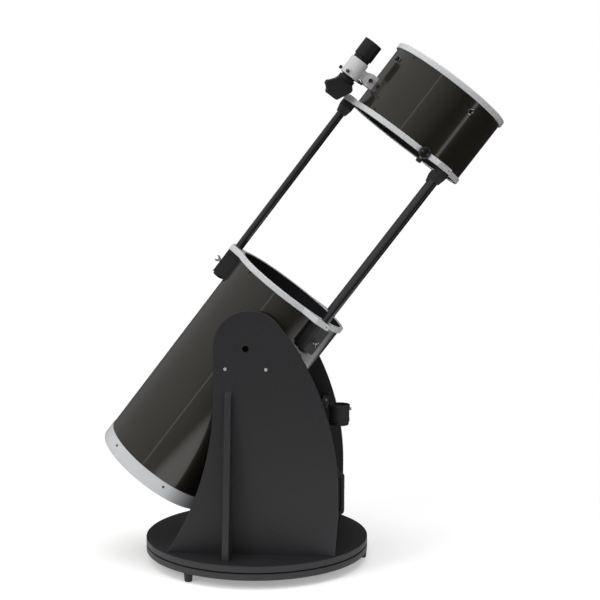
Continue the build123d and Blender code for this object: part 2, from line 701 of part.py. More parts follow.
# The flat mirror is an ellipse that looks round from the focuser and from the main mirror.
SECONDARY_R = 35.0
FLAT_T = 12.0
FOLD = (radial(FOCUSER_ANGLE) - TUBE_AXIS).normalized()
flat_plane = Plane(tube_point(SECONDARY_S), x_dir=radial(FOCUSER_ANGLE + 90), z_dir=FOLD)
with BuildPart() as secondary_mirror:
    with BuildSketch(flat_plane):
        Ellipse(SECONDARY_R, SECONDARY_R * sqrt(2))
    extrude(amount=-FLAT_T)
save("secondary_mirror", secondary_mirror.part)

with BuildPart() as secondary_holder:
    with BuildSketch(across(SECONDARY_S - 60)):
        Circle(SECONDARY_R - 2)
    extrude(amount=112)
    with BuildSketch(flat_plane.offset(-FLAT_T)):
        Circle(200)
    extrude(amount=250, mode=Mode.SUBTRACT)
save("secondary_holder", secondary_holder.part)

# ---------------------------------------------------------------- focuser
BODY_LOW, BODY_TOP = 184.0, 240.0
DRAW_R = 29.0
with BuildPart() as focuser_base:
    with BuildSketch(outward(SECONDARY_S, FOCUSER_ANGLE, 165)):
        RectangleRounded(112, 96, 12)
    extrude(amount=BODY_LOW + 3 - 165)
    with BuildSketch(outward(SECONDARY_S, FOCUSER_ANGLE, BODY_LOW)):
        Circle(37)
    extrude(amount=BODY_TOP - BODY_LOW)
    with BuildSketch(outward(SECONDARY_S - 36, FOCUSER_ANGLE, BODY_LOW)):
        RectangleRounded(30, 60, 4)
    extrude(amount=40)
    with BuildSketch(outward(SECONDARY_S, FOCUSER_ANGLE, 160)):
        Circle(DRAW_R + CLEAR)
    extrude(amount=90, mode=Mode.SUBTRACT)
    with BuildSketch(across(CAGE_LOW)):
        Circle(TUBE_R + 0.05)
    extrude(amount=CAGE_HIGH - CAGE_LOW, mode=Mode.SUBTRACT)
    shaft_line = Plane(
        tube_point(SECONDARY_S - 40, FOCUSER_ANGLE, 208), x_dir=TUBE_AXIS, z_dir=radial(FOCUSER_ANGLE + 90)
    )
    with BuildSketch(shaft_line):
        Circle(3.05)
    extrude(amount=80, both=True, mode=Mode.SUBTRACT)
save("focuser_base", focuser_base.part)

KNOB_IN = 32.0
with BuildPart() as focus_knobs:
    with BuildSketch(shaft_line):
        Circle(3)
    extrude(amount=KNOB_IN + 4, both=True)
    for side in (-1, 1):
        face = Plane(
            tube_point(SECONDARY_S - 40, FOCUSER_ANGLE, 208) + radial(FOCUSER_ANGLE + 90) * side * KNOB_IN,
            x_dir=TUBE_AXIS, z_dir=radial(FOCUSER_ANGLE + 90) * side,
        )
        add(knurled(face, 20, 18, 16, 1.4, edge=1.5))
save("focus_knobs", focus_knobs.part)

DRAW_LOW, DRAW_TOP = 150.0, 262.0
with BuildPart() as focuser_drawtube:
    with BuildSketch(outward(SECONDARY_S, FOCUSER_ANGLE, DRAW_LOW)):
        Circle(DRAW_R)
        Circle(DRAW_R - 3, mode=Mode.SUBTRACT)
    extrude(amount=DRAW_TOP - DRAW_LOW)
save("focuser_drawtube", focuser_drawtube.part)

EYEPIECE_BORE = 15.92        # takes a 1.25 inch barrel, 31.75 mm
HOLDER_TOP = DRAW_TOP + 20
with BuildPart() as eyepiece_holder:
    with BuildSketch(outward(SECONDARY_S, FOCUSER_ANGLE, DRAW_TOP)):
        Circle(32)
    extrude(amount=HOLDER_TOP - DRAW_TOP)
    with BuildSketch(outward(SECONDARY_S, FOCUSER_ANGLE, DRAW_TOP - 22)):
        Circle(DRAW_R - 3)
    extrude(amount=22)
    chamfer(eyepiece_holder.edges().sort_by(Axis(tube_point(SECONDARY_S), radial(FOCUSER_ANGLE)))[-1], 1.5)
    with BuildSketch(outward(SECONDARY_S, FOCUSER_ANGLE, DRAW_TOP - 22)):
        Circle(EYEPIECE_BORE)
    extrude(amount=22 + HOLDER_TOP - DRAW_TOP, mode=Mode.SUBTRACT)
    screw_line = Plane(
        tube_point(SECONDARY_S, FOCUSER_ANGLE, DRAW_TOP + 10), x_dir=radial(FOCUSER_ANGLE), z_dir=TUBE_AXIS
    )
    with BuildSketch(screw_line):
        Circle(2.05)
    extrude(amount=40, mode=Mode.SUBTRACT)
save("eyepiece_holder", eyepiece_holder.part)

holder_screw = turned(
    screw_line.offset(EYEPIECE_BORE + 1),
    [(0, 0), (2, 0), (2, 17), (5, 17), (5.5, 17.5), (5.5, 25), (5, 25.5), (0, 25.5)],
)
save("holder_screw", holder_screw)

# ---------------------------------------------------------------- finder
SHOE_S = 783.0
SHOE_TOP = 190.0
SHOE_L = 38.0
STEM_W = 20.0                # width of the stem
STEM_NECK = 27.0             # its length along the tube next to the finder
FINDER_LOW, FINDER_HIGH = 757.0, 810.0
SLEEVE_R = 27.5
with BuildPart() as finder_shoe:
    with BuildSketch(outward(SHOE_S, FINDER_ANGLE, 168)):
        Rectangle(SHOE_L, 40)
    extrude(amount=SHOE_TOP - 168)
    with BuildSketch(across(SHOE_S - SHOE_L / 2, FINDER_ANGLE)):
        with BuildLine():
            Polyline((SHOE_TOP, -20), (SHOE_TOP + 8, -20), (SHOE_TOP + 8, -9), (SHOE_TOP, -13), close=True)
        make_face()
    extrude(amount=SHOE_L)
    with BuildSketch(across(SHOE_S - SHOE_L / 2, FINDER_ANGLE)):
        with BuildLine():
            Polyline((SHOE_TOP, 20), (SHOE_TOP + 8, 20), (SHOE_TOP + 8, 9), (SHOE_TOP, 13), close=True)
        make_face()
    extrude(amount=SHOE_L)
    with BuildSketch(across(CAGE_LOW)):
        Circle(TUBE_R + 0.05)
    extrude(amount=CAGE_HIGH - CAGE_LOW, mode=Mode.SUBTRACT)
    side_line = Plane(tube_point(SHOE_S, FINDER_ANGLE, SHOE_TOP + 4), x_dir=TUBE_AXIS, z_dir=radial(FINDER_ANGLE + 90))
    with BuildSketch(side_line):
        Circle(2.05)
    extrude(amount=30, mode=Mode.SUBTRACT)
save("finder_shoe", finder_shoe.part)

finder_clamp_screw = turned(
    side_line.offset(12.3), [(0, 0), (2, 0), (2, 8.5), (5.5, 8.5), (6, 9), (6, 17), (5.5, 17.5), (0, 17.5)]
)
save("finder_clamp_screw", finder_clamp_screw)

FINDER_TUBE_R = 20.5
ALIGN_S = FINDER_LOW + 8
ALIGN_TURNS = {"near": 62.0, "far": -28.0}
PLUNGER_S = FINDER_LOW + 6   # the spring plunger pushes against the two alignment screws
PLUNGER_TURN = 197.0
PLUNGER_BARREL = 40.0
STEM_FOOT = 36.0             # length of the stem along the tube where it slides into the shoe


def finder_across(station):
    return across(station, FINDER_ANGLE, FINDER_C)


with BuildPart() as finder_bracket:
    with BuildSketch(finder_across(FINDER_LOW)):
        Circle(SLEEVE_R)
    extrude(amount=FINDER_HIGH - FINDER_LOW)
    chamfer(finder_bracket.edges().filter_by(GeomType.CIRCLE), 1)
    with BuildSketch(across(SHOE_S - STEM_FOOT / 2, FINDER_ANGLE)):
        with BuildLine():
            Polyline(
                (SHOE_TOP + 0.1, -12.6), (SHOE_TOP + 8.1, -8.8),
                (SHOE_TOP + 8.1, 8.8), (SHOE_TOP + 0.1, 12.6), close=True,
            )
        make_face()
    extrude(amount=STEM_FOOT)
    with BuildSketch(Plane(tube_point(SHOE_S), x_dir=radial(FINDER_ANGLE), z_dir=-radial(FINDER_ANGLE + 90))):
        with BuildLine():
            Polyline(
                (SHOE_TOP + 8, -STEM_FOOT / 2), (SHOE_TOP + 12, -STEM_FOOT / 2), (SHOE_TOP + 20, -STEM_NECK / 2),
                (FINDER_C - 22, -STEM_NECK / 2), (FINDER_C - 22, STEM_NECK / 2), (SHOE_TOP + 20, STEM_NECK / 2),
                (SHOE_TOP + 12, STEM_FOOT / 2), (SHOE_TOP + 8, STEM_FOOT / 2), close=True,
            )
        make_face()
    extrude(amount=STEM_W / 2, both=True)
    ray = radial(FINDER_ANGLE + PLUNGER_TURN)
    plunger = Plane(tube_point(PLUNGER_S, FINDER_ANGLE, FINDER_C), x_dir=TUBE_AXIS, z_dir=ray)
    with BuildSketch(plunger.offset(SLEEVE_R - 2)):
        Circle(4.5)
    extrude(amount=PLUNGER_BARREL - SLEEVE_R + 2)
    with BuildSketch(plunger.offset(PLUNGER_BARREL)):
        Circle(3)
    extrude(amount=9)
    with BuildSketch(finder_across(FINDER_LOW)):
        Circle(SLEEVE_R - 3)
    extrude(amount=FINDER_HIGH - FINDER_LOW - 6, mode=Mode.SUBTRACT)
    with BuildSketch(finder_across(FINDER_HIGH - 6)):
        Circle(FINDER_TUBE_R + 0.2)
    extrude(amount=6, mode=Mode.SUBTRACT)
    for turn in ALIGN_TURNS.values():
        ray = radial(FINDER_ANGLE + turn)
        with BuildSketch(Plane(tube_point(ALIGN_S, FINDER_ANGLE, FINDER_C) + ray * 15, x_dir=TUBE_AXIS, z_dir=ray)):
            Circle(2.05)
        extrude(amount=20, mode=Mode.SUBTRACT)
save("finder_bracket", finder_bracket.part)

for name, turn in ALIGN_TURNS.items():
    ray = radial(FINDER_ANGLE + turn)
    start = Plane(tube_point(ALIGN_S, FINDER_ANGLE, FINDER_C) + ray * (FINDER_TUBE_R + 0.3), x_dir=TUBE_AXIS, z_dir=ray)
    save(f"alignment_screw_{name}", turned(start, [
        (0, 0), (2, 0), (2, 10.5), (4.6, 10.5), (5, 11), (5, 17), (4.6, 17.5), (0, 17.5),
    ]))

NECK_LOW = FINDER_LOW - 16
with BuildPart() as finder_tube:
    add(turned(finder_across(NECK_LOW), [
        (FINDER_TUBE_R - 2, 0), (24.6, 0), (24.6, 11), (FINDER_TUBE_R, 12),
        (FINDER_TUBE_R, FINDER_HIGH - NECK_LOW + 6), (FINDER_TUBE_R - 2, FINDER_HIGH - NECK_LOW + 6),
    ]))
save("finder_tube", finder_tube.part)

SHIELD_END = 870.0
dew_shield = turned(finder_across(FINDER_HIGH), [
    (FINDER_TUBE_R, 0), (24, 0), (24, 10), (27.3, 11), (27.3, SHIELD_END - FINDER_HIGH),
    (25.3, SHIELD_END - FINDER_HIGH), (23.8, 13), (23.8, 11.2), (22.5, 11), (22.5, 6), (FINDER_TUBE_R, 6),
])
save("dew_shield", dew_shield)

finder_lens = turned(finder_across(FINDER_HIGH + 6), [(0, 0), (22.5, 0), (22.5, 4), (12, 6), (0, 6.6)])
save("finder_lens", finder_lens)

# right-angle prism housing behind the finder, with its eyepiece turned to the far side
with BuildPart() as prism_housing:
    origin = tube_point(NECK_LOW, FINDER_ANGLE, FINDER_C)
    with BuildSketch(Plane(origin, x_dir=radial(FINDER_ANGLE), z_dir=-radial(FINDER_ANGLE + 90))) as profile:
        with BuildLine():
            Polyline(
                (-22, 0), (-30, -8), (-31, -15), (-11, -56), (20, -56),
                (27, -48), (40, -36), (40, -28), (26, -10), (22, 0), close=True,
            )
        make_face()
        fillet(profile.vertices(), 1.8)
        with Locations((33, -32)):
            Circle(9)
        with Locations((19, -48)):
            Circle(8.4)
    extrude(amount=19, both=True)
    with BuildSketch(finder_across(NECK_LOW)):
        Circle(13)
    extrude(amount=-22, mode=Mode.SUBTRACT)
    chamfer(prism_housing.faces().sort_by(Axis(origin, radial(FINDER_ANGLE + 90)))[-1].outer_wire().edges(), 1)
save("prism_housing", prism_housing.part)

EYE_S = NECK_LOW - 24
eye_ray = -radial(FINDER_ANGLE + 90)
eye_plane = Plane(tube_point(EYE_S, FINDER_ANGLE, FINDER_C) + eye_ray * 19.3, x_dir=TUBE_AXIS, z_dir=eye_ray)
finder_eyepiece = turned(eye_plane, [
    (0, 0), (14, 0), (14, 12), (17, 13), (17.5, 16), (17.5, 30), (16, 33), (16, 40), (13, 42), (9, 42), (9, 36), (0, 36),
])
save("finder_eyepiece", finder_eyepiece)

# ---------------------------------------------------------------- latch that holds the closed cage
LATCH_ANGLE = 108.0
LATCH_R = 16.5
latch_face = outward(712, LATCH_ANGLE, RING_R)
with BuildPart() as latch_housing:
    with BuildSketch(latch_face):
        Circle(LATCH_R)
    extrude(amount=12)
    with BuildSketch(latch_face.offset(12)):
        Circle(LATCH_R - 3)
    extrude(amount=2)
    with BuildSketch(outward(712, LATCH_ANGLE, 165)):
        Circle(LATCH_R)
    extrude(amount=RING_R - 165)
    with BuildSketch(across(650)):
        Circle(RING_R)
    extrude(amount=120, mode=Mode.SUBTRACT)
    with BuildSketch(across(680, LATCH_ANGLE, RING_R + 7)):
        Circle(3.05)
    extrude(amount=39, mode=Mode.SUBTRACT)
    for tilt in (-1, 1):
        with BuildSketch(latch_face.offset(14)):
            with Locations((0, tilt * 8)):
                Circle(3)
        extrude(amount=1.5)
save("latch_housing", latch_housing.part - cage_ring_lower)

PIN_LOW = 681.0
latch_pin = turned(across(PIN_LOW, LATCH_ANGLE, RING_R + 7), [
    (0, 0), (7, 0), (8, 1), (8, 10), (7, 11), (4.5, 11), (4.5, 14), (3, 14), (3, 36), (0, 36),
])
save("latch_pin", latch_pin)
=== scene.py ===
import bpy
import bmesh
import json
import math
from mathutils import Matrix, Vector


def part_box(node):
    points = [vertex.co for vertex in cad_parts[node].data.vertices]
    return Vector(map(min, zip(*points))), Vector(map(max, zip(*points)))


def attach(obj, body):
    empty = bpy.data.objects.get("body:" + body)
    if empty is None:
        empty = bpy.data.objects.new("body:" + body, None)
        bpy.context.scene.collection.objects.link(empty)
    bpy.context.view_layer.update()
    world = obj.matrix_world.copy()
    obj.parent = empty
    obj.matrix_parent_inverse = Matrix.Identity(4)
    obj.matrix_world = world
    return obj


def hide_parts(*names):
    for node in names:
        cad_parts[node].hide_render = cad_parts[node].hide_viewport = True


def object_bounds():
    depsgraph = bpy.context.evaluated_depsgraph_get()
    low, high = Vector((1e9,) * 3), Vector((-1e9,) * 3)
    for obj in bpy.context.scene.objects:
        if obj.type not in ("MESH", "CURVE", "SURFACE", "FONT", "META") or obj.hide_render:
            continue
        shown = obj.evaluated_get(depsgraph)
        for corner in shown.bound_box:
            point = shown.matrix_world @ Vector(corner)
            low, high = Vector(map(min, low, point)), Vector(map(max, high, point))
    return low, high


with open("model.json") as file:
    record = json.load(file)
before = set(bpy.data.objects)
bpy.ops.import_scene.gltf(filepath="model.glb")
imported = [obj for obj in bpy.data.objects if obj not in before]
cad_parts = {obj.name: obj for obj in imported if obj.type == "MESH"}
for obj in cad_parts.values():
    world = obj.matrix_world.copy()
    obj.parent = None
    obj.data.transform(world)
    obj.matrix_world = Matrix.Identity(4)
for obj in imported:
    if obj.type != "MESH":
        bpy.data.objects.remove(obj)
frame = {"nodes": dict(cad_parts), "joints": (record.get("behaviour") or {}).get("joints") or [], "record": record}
cad_low, cad_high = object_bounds()

scene = bpy.context.scene
scene.view_settings.view_transform = "Standard"

# ---------------------------------------------------------------- frame facts
MM = 0.001
JOINTS = {j["name"]: j for j in frame["joints"]}
ALT_POINT = Vector(JOINTS["altitude"]["pos_m"])
TUBE_AXIS = -Vector(JOINTS["truss_collapse"]["axis"])
TUBE_SIDE = Vector((0, -1, 0))
TUBE_UP = TUBE_SIDE.cross(TUBE_AXIS)


def corners(node):
    return [v.co.copy() for v in frame["nodes"][node].data.vertices]


def span(node, origin, axis):
    """How far a CAD node reaches along an axis, lowest and highest."""
    along = [(point - origin).dot(axis) for point in corners(node)]
    return min(along), max(along)


def girth(node, origin, axis):
    """How far a CAD node reaches out from an axis."""
    return max((point - origin).cross(axis).length for point in corners(node))


def islands(node):
    """The separate solids of a CAD node, each as a list of points."""
    shape = bmesh.new()
    shape.from_mesh(frame["nodes"][node].data)
    bmesh.ops.remove_doubles(shape, verts=shape.verts, dist=1e-6)
    left = set(shape.verts)
    found = []
    while left:
        group, edge = set(), [left.pop()]
        while edge:
            vert = edge.pop()
            group.add(vert)
            for link in vert.link_edges:
                other = link.other_vert(vert)
                if other in left:
                    left.discard(other)
                    edge.append(other)
        found.append([v.co.copy() for v in group])
    shape.free()
    return found


def radial(angle):
    """Unit vector away from the tube's axis; 0 is up, 90 is the -Y side."""
    turn = math.radians(angle)
    return TUBE_UP * math.cos(turn) + TUBE_SIDE * math.sin(turn)


def tube_point(station, angle=0.0, distance=0.0):
    return ALT_POINT + TUBE_AXIS * station + radial(angle) * distance


def standing(origin, up, across=None):
    """Matrix that stands a shape on origin with its z along up."""
    up = Vector(up).normalized()
    across = Vector(across) if across else up.orthogonal()
    across = (across - up * across.dot(up)).normalized()
    turn = Matrix((across, up.cross(across), up)).transposed().to_4x4()
    return Matrix.Translation(origin) @ turn


# ---------------------------------------------------------------- node helpers
class Nodes:
    """A small wrapper that builds a node tree by name."""

    def __init__(self, tree):
        self.tree = tree

    def add(self, kind, inputs=None, **settings):
        node = self.tree.nodes.new(kind)
        for key, value in settings.items():
            setattr(node, key, value)
        for key, value in (inputs or {}).items():
            self.put(node.inputs[key], value)
        return node

    def put(self, socket, value):
        if isinstance(value, bpy.types.NodeSocket):
            self.tree.links.new(value, socket)
        else:
            socket.default_value = value

    def ramp(self, factor, stops):
        node = self.add("ShaderNodeValToRGB", {"Fac": factor})
        while len(node.color_ramp.elements) < len(stops):
            node.color_ramp.elements.new(0.5)
        for element, (position, color) in zip(node.color_ramp.elements, stops):
            element.position = position
            element.color = color if len(color) == 4 else (*color, 1)
        return node.outputs["Color"]

    def scale(self, factor, low, high):
        node = self.add(
            "ShaderNodeMapRange", {"Value": factor, "To Min": low, "To Max": high}
        )
        return node.outputs["Result"]

    def math(self, operation, first, second=0.0):
        node = self.add("ShaderNodeMath", {0: first, 1: second}, operation=operation)
        return node.outputs["Value"]

    def dot(self, vector, axis):
        node = self.add("ShaderNodeVectorMath", {0: vector, 1: tuple(axis)}, operation="DOT_PRODUCT")
        return node.outputs["Value"]

    def mix(self, factor, first, second):
        node = self.add("ShaderNodeMix", {"Factor": factor}, data_type="RGBA")
        self.put(node.inputs[6], first)
        self.put(node.inputs[7], second)
        return node.outputs[2]

    def noise(self, place, scale, detail=3.0, rough=0.5):
        node = self.add(
            "ShaderNodeTexNoise",
            {"Vector": place, "Scale": scale, "Detail": detail, "Roughness": rough},
        )
        return node.outputs["Fac"]

    def stretched(self, place, scale):
        node = self.add("ShaderNodeMapping", {"Vector": place, "Scale": scale})
        return node.outputs["Vector"]


def grey(value):
    return (value, value, value, 1)


def principled(name):
    material = bpy.data.materials.new(name)
    material.use_nodes = True
    nodes = Nodes(material.node_tree)
    shader = material.node_tree.nodes["Principled BSDF"]
    place = nodes.add("ShaderNodeTexCoord").outputs["Object"]
    return material, nodes, shader, place


def bump(nodes, shader, height, strength, distance):
    node = nodes.add(
        "ShaderNodeBump", {"Height": height, "Strength": strength, "Distance": distance}
    )
    nodes.put(shader.inputs["Normal"], node.outputs["Normal"])


def coated(name, dark, light, rough, grain, depth, metallic=0.0, coat=0.0, coat_rough=0.05,
           spread=0.06, specular=0.5, scuffs=0.0):
    """A finish whose colour and roughness drift slowly, with a fine grain in its surface.

    Scuffs are sparse pale rubs, finer than the drift.
    """
    material, nodes, shader, place = principled(name)
    drift = nodes.noise(place, 9.0, 4.0)
    fine = nodes.noise(place, grain, 2.0)
    half = nodes.math("MULTIPLY", nodes.math("ADD", drift, fine), 0.5)
    color = nodes.ramp(half, [(0.38, dark), (0.62, light)])
    if scuffs:
        rubs = nodes.ramp(
            nodes.noise(place, 55.0, 8.0, 0.75), [(0.64, grey(0)), (0.76, grey(scuffs))])
        pale = tuple(min(1.0, 1.6 * part + 0.03) for part in light)
        color = nodes.mix(rubs, color, (*pale, 1))
    nodes.put(shader.inputs["Base Color"], color)
    nodes.put(shader.inputs["Roughness"], nodes.scale(drift, rough - spread, rough + spread))
    shader.inputs["Metallic"].default_value = metallic
    shader.inputs["Specular IOR Level"].default_value = specular
    shader.inputs["Coat Weight"].default_value = coat
    shader.inputs["Coat Roughness"].default_value = coat_rough
    bump(nodes, shader, fine, 0.35, depth)
    return material


def laminate():
    """Charcoal melamine with a fine pebble in its surface."""
    material, nodes, shader, place = principled("laminate")
    drift = nodes.noise(place, 5.0, 3.0)
    pebble = nodes.add(
        "ShaderNodeTexVoronoi", {"Vector": place, "Scale": 950.0}).outputs["Distance"]
    fleck = nodes.ramp(
        nodes.noise(place, 420.0, 2.0),
        [(0.4, (0.015, 0.015, 0.0165)), (0.66, (0.023, 0.023, 0.0255))])
    cloudy = nodes.mix(nodes.scale(drift, 0.0, 0.5), fleck, (0.024, 0.024, 0.027, 1))
    rubs = nodes.ramp(nodes.noise(place, 38.0, 9.0, 0.8), [(0.66, grey(0)), (0.78, grey(0.22))])
    nodes.put(shader.inputs["Base Color"], nodes.mix(rubs, cloudy, (0.05, 0.05, 0.054, 1)))
    nodes.put(shader.inputs["Roughness"], nodes.scale(drift, 0.5, 0.62))
    shader.inputs["Specular IOR Level"].default_value = 0.4
    bump(nodes, shader, pebble, 0.3, 0.0003)
    return material


def enamel():
    """Deep gloss enamel over fine warm flake, with a slight rolled waviness along the tube."""
    material, nodes, shader, place = principled("tube_enamel")
    drift = nodes.noise(place, 4.0, 3.0)
    flake = nodes.add("ShaderNodeTexVoronoi", {"Vector": place, "Scale": 1600.0}).outputs["Color"]
    sparkle = nodes.add("ShaderNodeSeparateColor", {"Color": flake}).outputs["Red"]
    tone = nodes.math("MULTIPLY", nodes.math("ADD", drift, sparkle), 0.5)
    color = nodes.ramp(tone, [(0.3, (0.0085, 0.0072, 0.0046)), (0.75, (0.0205, 0.0175, 0.0115))])
    dust = nodes.ramp(nodes.noise(place, 130.0, 8.0, 0.8), [(0.68, grey(0)), (0.8, grey(0.12))])
    nodes.put(shader.inputs["Base Color"], nodes.mix(dust, color, (0.16, 0.15, 0.13, 1)))
    nodes.put(shader.inputs["Roughness"], nodes.scale(drift, 0.3, 0.4))
    shader.inputs["Specular IOR Level"].default_value = 0.35
    shader.inputs["Coat Weight"].default_value = 1.0
    shader.inputs["Coat Roughness"].default_value = 0.035
    bump(nodes, shader, nodes.noise(place, 7.0, 2.0), 0.12, 0.004)
    return material


def brushed(name, dark, light, rough, around):
    """Bare metal with fine lines from the lathe, stretched along one direction."""
    material, nodes, shader, place = principled(name)
    lines = nodes.noise(nodes.stretched(place, around), 1.0, 4.0, 0.7)
    nodes.put(shader.inputs["Base Color"], nodes.ramp(lines, [(0.3, dark), (0.7, light)]))
    nodes.put(shader.inputs["Roughness"], nodes.scale(lines, rough - 0.05, rough + 0.08))
    shader.inputs["Metallic"].default_value = 1.0
    bump(nodes, shader, lines, 0.12, 0.0001)
    return material


def glass():
    """A coated lens over a dark barrel: nearly black, with the coating's green-violet reflection painted into its
    colour, strongest at grazing angles.
    """
    material, nodes, shader, place = principled("lens_glass")
    edge_on = nodes.add("ShaderNodeLayerWeight", {"Blend": 0.35}).outputs["Facing"]
    # painted reflection: the coating's green-violet reflection, set in the base colour by the angle to the viewer
    painted_coating_reflection = nodes.ramp(
        edge_on, [(0.0, (0.012, 0.02, 0.03)), (0.5, (0.02, 0.05, 0.035)), (1.0, (0.06, 0.03, 0.08))])
    smear = nodes.noise(place, 60.0, 4.0)
    smeared = nodes.mix(nodes.scale(smear, 0.0, 0.3), painted_coating_reflection, (0.03, 0.035, 0.04, 1))
    nodes.put(shader.inputs["Base Color"], smeared)
    nodes.put(shader.inputs["Roughness"], nodes.scale(smear, 0.02, 0.07))
    shader.inputs["Coat Weight"].default_value = 1.0
    return material


MATERIALS = {
    "laminate": laminate(),
    "rubber": coated(
        "rubber", (0.012, 0.012, 0.012), (0.025, 0.025, 0.025), 0.78, 1200, 0.0003, scuffs=0.3),
    "nylon": coated("nylon", (0.62, 0.6, 0.54), (0.74, 0.72, 0.66), 0.45, 600, 0.0001),
    "zinc_steel": coated(
        "zinc_steel", (0.38, 0.38, 0.39), (0.56, 0.56, 0.55), 0.34, 700, 0.0001, metallic=1.0),
    "black_plastic": coated(
        "black_plastic", (0.013, 0.013, 0.0145), (0.024, 0.024, 0.026), 0.46, 1500, 0.0003,
        specular=0.45, scuffs=0.15),
    "tube_enamel": enamel(),
    "ring_enamel": coated(
        "ring_enamel", (0.55, 0.565, 0.58), (0.61, 0.625, 0.64), 0.4, 900, 0.0001, coat=0.25),
    "strut_enamel": coated(
        "strut_enamel", (0.004, 0.004, 0.006), (0.009, 0.009, 0.012), 0.25, 900, 0.0001,
        coat=1.0, specular=0.4),
    "cast_alloy": coated(
        "cast_alloy", (0.022, 0.022, 0.023), (0.045, 0.045, 0.046), 0.5, 500, 0.0004, metallic=0.3),
    "mirror_coating": coated(
        "mirror_coating", (0.85, 0.86, 0.88), (0.9, 0.9, 0.92), 0.04, 400, 0.00001,
        metallic=1.0, spread=0.01),
    "clip_steel": coated(
        "clip_steel", (0.3, 0.3, 0.31), (0.42, 0.42, 0.42), 0.4, 500, 0.0001, metallic=1.0),
    "bright_chrome": coated(
        "bright_chrome", (0.42, 0.42, 0.43), (0.56, 0.56, 0.56), 0.17, 400, 0.00003, metallic=1.0),
    "black_anodised": coated(
        "black_anodised", (0.007, 0.007, 0.008), (0.014, 0.014, 0.015), 0.4, 1500, 0.0001,
        specular=0.4, scuffs=0.1),
    "chrome_tube": brushed(
        "chrome_tube", (0.5, 0.5, 0.51), (0.68, 0.68, 0.69), 0.2, (900, 20, 900)),
    "finder_white": coated(
        "finder_white", (0.56, 0.56, 0.565), (0.62, 0.62, 0.625), 0.36, 900, 0.0001, coat=0.3),
    "lens_glass": glass(),
}
SCREW_NICKEL = coated(
    "screw_nickel", (0.62, 0.62, 0.63), (0.78, 0.78, 0.78), 0.32, 700, 0.0001, metallic=0.55)
MATT_BLACK = coated(
    "matt_black", (0.009, 0.0088, 0.0098), (0.016, 0.0155, 0.0175), 0.85, 1800, 0.0004,
    specular=0.2)
GLOSS_BLACK = coated(
    "gloss_black", (0.006, 0.006, 0.006), (0.010, 0.010, 0.010), 0.3, 900, 0.0001, coat=0.8)
DARK_ZINC = coated(
    "dark_zinc", (0.05, 0.05, 0.052), (0.1, 0.1, 0.1), 0.35, 700, 0.0001, metallic=1.0)


def facing(nodes, axis, low, high):
    """Nought to one as the surface turns towards an axis of the part itself."""
    normal = nodes.add("ShaderNodeTexCoord").outputs["Normal"]
    node = nodes.add(
        "ShaderNodeMapRange",
        {"Value": nodes.dot(normal, axis), "From Min": low, "From Max": high})
    return node.outputs["Result"]


def tone_by_facing(name, base, axis, low, high, tone, rough):
    """A copy of a finish that changes colour and roughness where the surface faces along an axis."""
    material = base.copy()
    material.name = name
    nodes = Nodes(material.node_tree)
    shader = material.node_tree.nodes["Principled BSDF"]
    share = facing(nodes, axis, low, high)
    base_color = shader.inputs["Base Color"].links[0].from_socket
    base_rough = shader.inputs["Roughness"].links[0].from_socket
    nodes.put(shader.inputs["Base Color"], nodes.mix(share, base_color, (*tone, 1)))
    room = nodes.add("ShaderNodeMix", {"Factor": share}, data_type="FLOAT")
    nodes.put(room.inputs[2], base_rough)
    nodes.put(room.inputs[3], rough)
    nodes.put(shader.inputs["Roughness"], room.outputs[0])
    return material


def lighter_edged(name, axis):
    """Laminate drawn lighter, with fine lines along it, on its cut edges: the surfaces that don't face along the
    axis.
    """
    material = MATERIALS["laminate"].copy()
    material.name = name
    nodes = Nodes(material.node_tree)
    shader = material.node_tree.nodes["Principled BSDF"]
    place = nodes.add("ShaderNodeTexCoord").outputs["Object"]
    along = facing(nodes, axis, 0.0, 1.0)
    against = facing(nodes, -Vector(axis), 0.0, 1.0)
    flat = nodes.math("ADD", along, against)
    edge = nodes.add(
        "ShaderNodeMapRange",
        {"Value": flat, "From Min": 0.55, "From Max": 0.85, "To Min": 1.0, "To Max": 0.0})
    drawn = nodes.stretched(place, tuple(30 + 900 * abs(part) for part in axis))
    lines = nodes.noise(drawn, 1.0, 3.0)
    # the cut edges are drawn lighter than the faces, whatever light falls on them
    edge_tone = nodes.ramp(lines, [(0.3, (0.020, 0.020, 0.022)), (0.7, (0.034, 0.034, 0.037))])
    face = shader.inputs["Base Color"].links[0].from_socket
    nodes.put(shader.inputs["Base Color"], nodes.mix(edge.outputs["Result"], face, edge_tone))
    return material


# the lower cage ring is made near-black and rough where its faces look back down the tube
DARKER_UNDERSIDE = tone_by_facing(
    "ring_underside_darker", MATERIALS["ring_enamel"], -TUBE_AXIS, 0.8, 0.9, (0.006, 0.006, 0.006), 0.7)
BOARD_Y = lighter_edged("laminate_side", (0, 1, 0))
BOARD_X = lighter_edged("laminate_cross", (1, 0, 0))
BOARD_Z = lighter_edged("laminate_round", (0, 0, 1))
OWN_FINISH = {
    "cage_ring_lower": DARKER_UNDERSIDE, "side_board_right": BOARD_Y, "side_board_left": BOARD_Y,
    "gussets": BOARD_X, "front_board": BOARD_X, "ground_board": BOARD_Z, "turntable_board": BOARD_Z,
}

for entry in frame["record"]["subparts"]:
    node = frame["nodes"][entry["node"]]
    material = OWN_FINISH.get(entry["node"], MATERIALS[entry["material_slot"]])
    if not node.material_slots:
        node.data.materials.append(material)
    for each in node.material_slots:
        each.link = "OBJECT"
        each.material = material


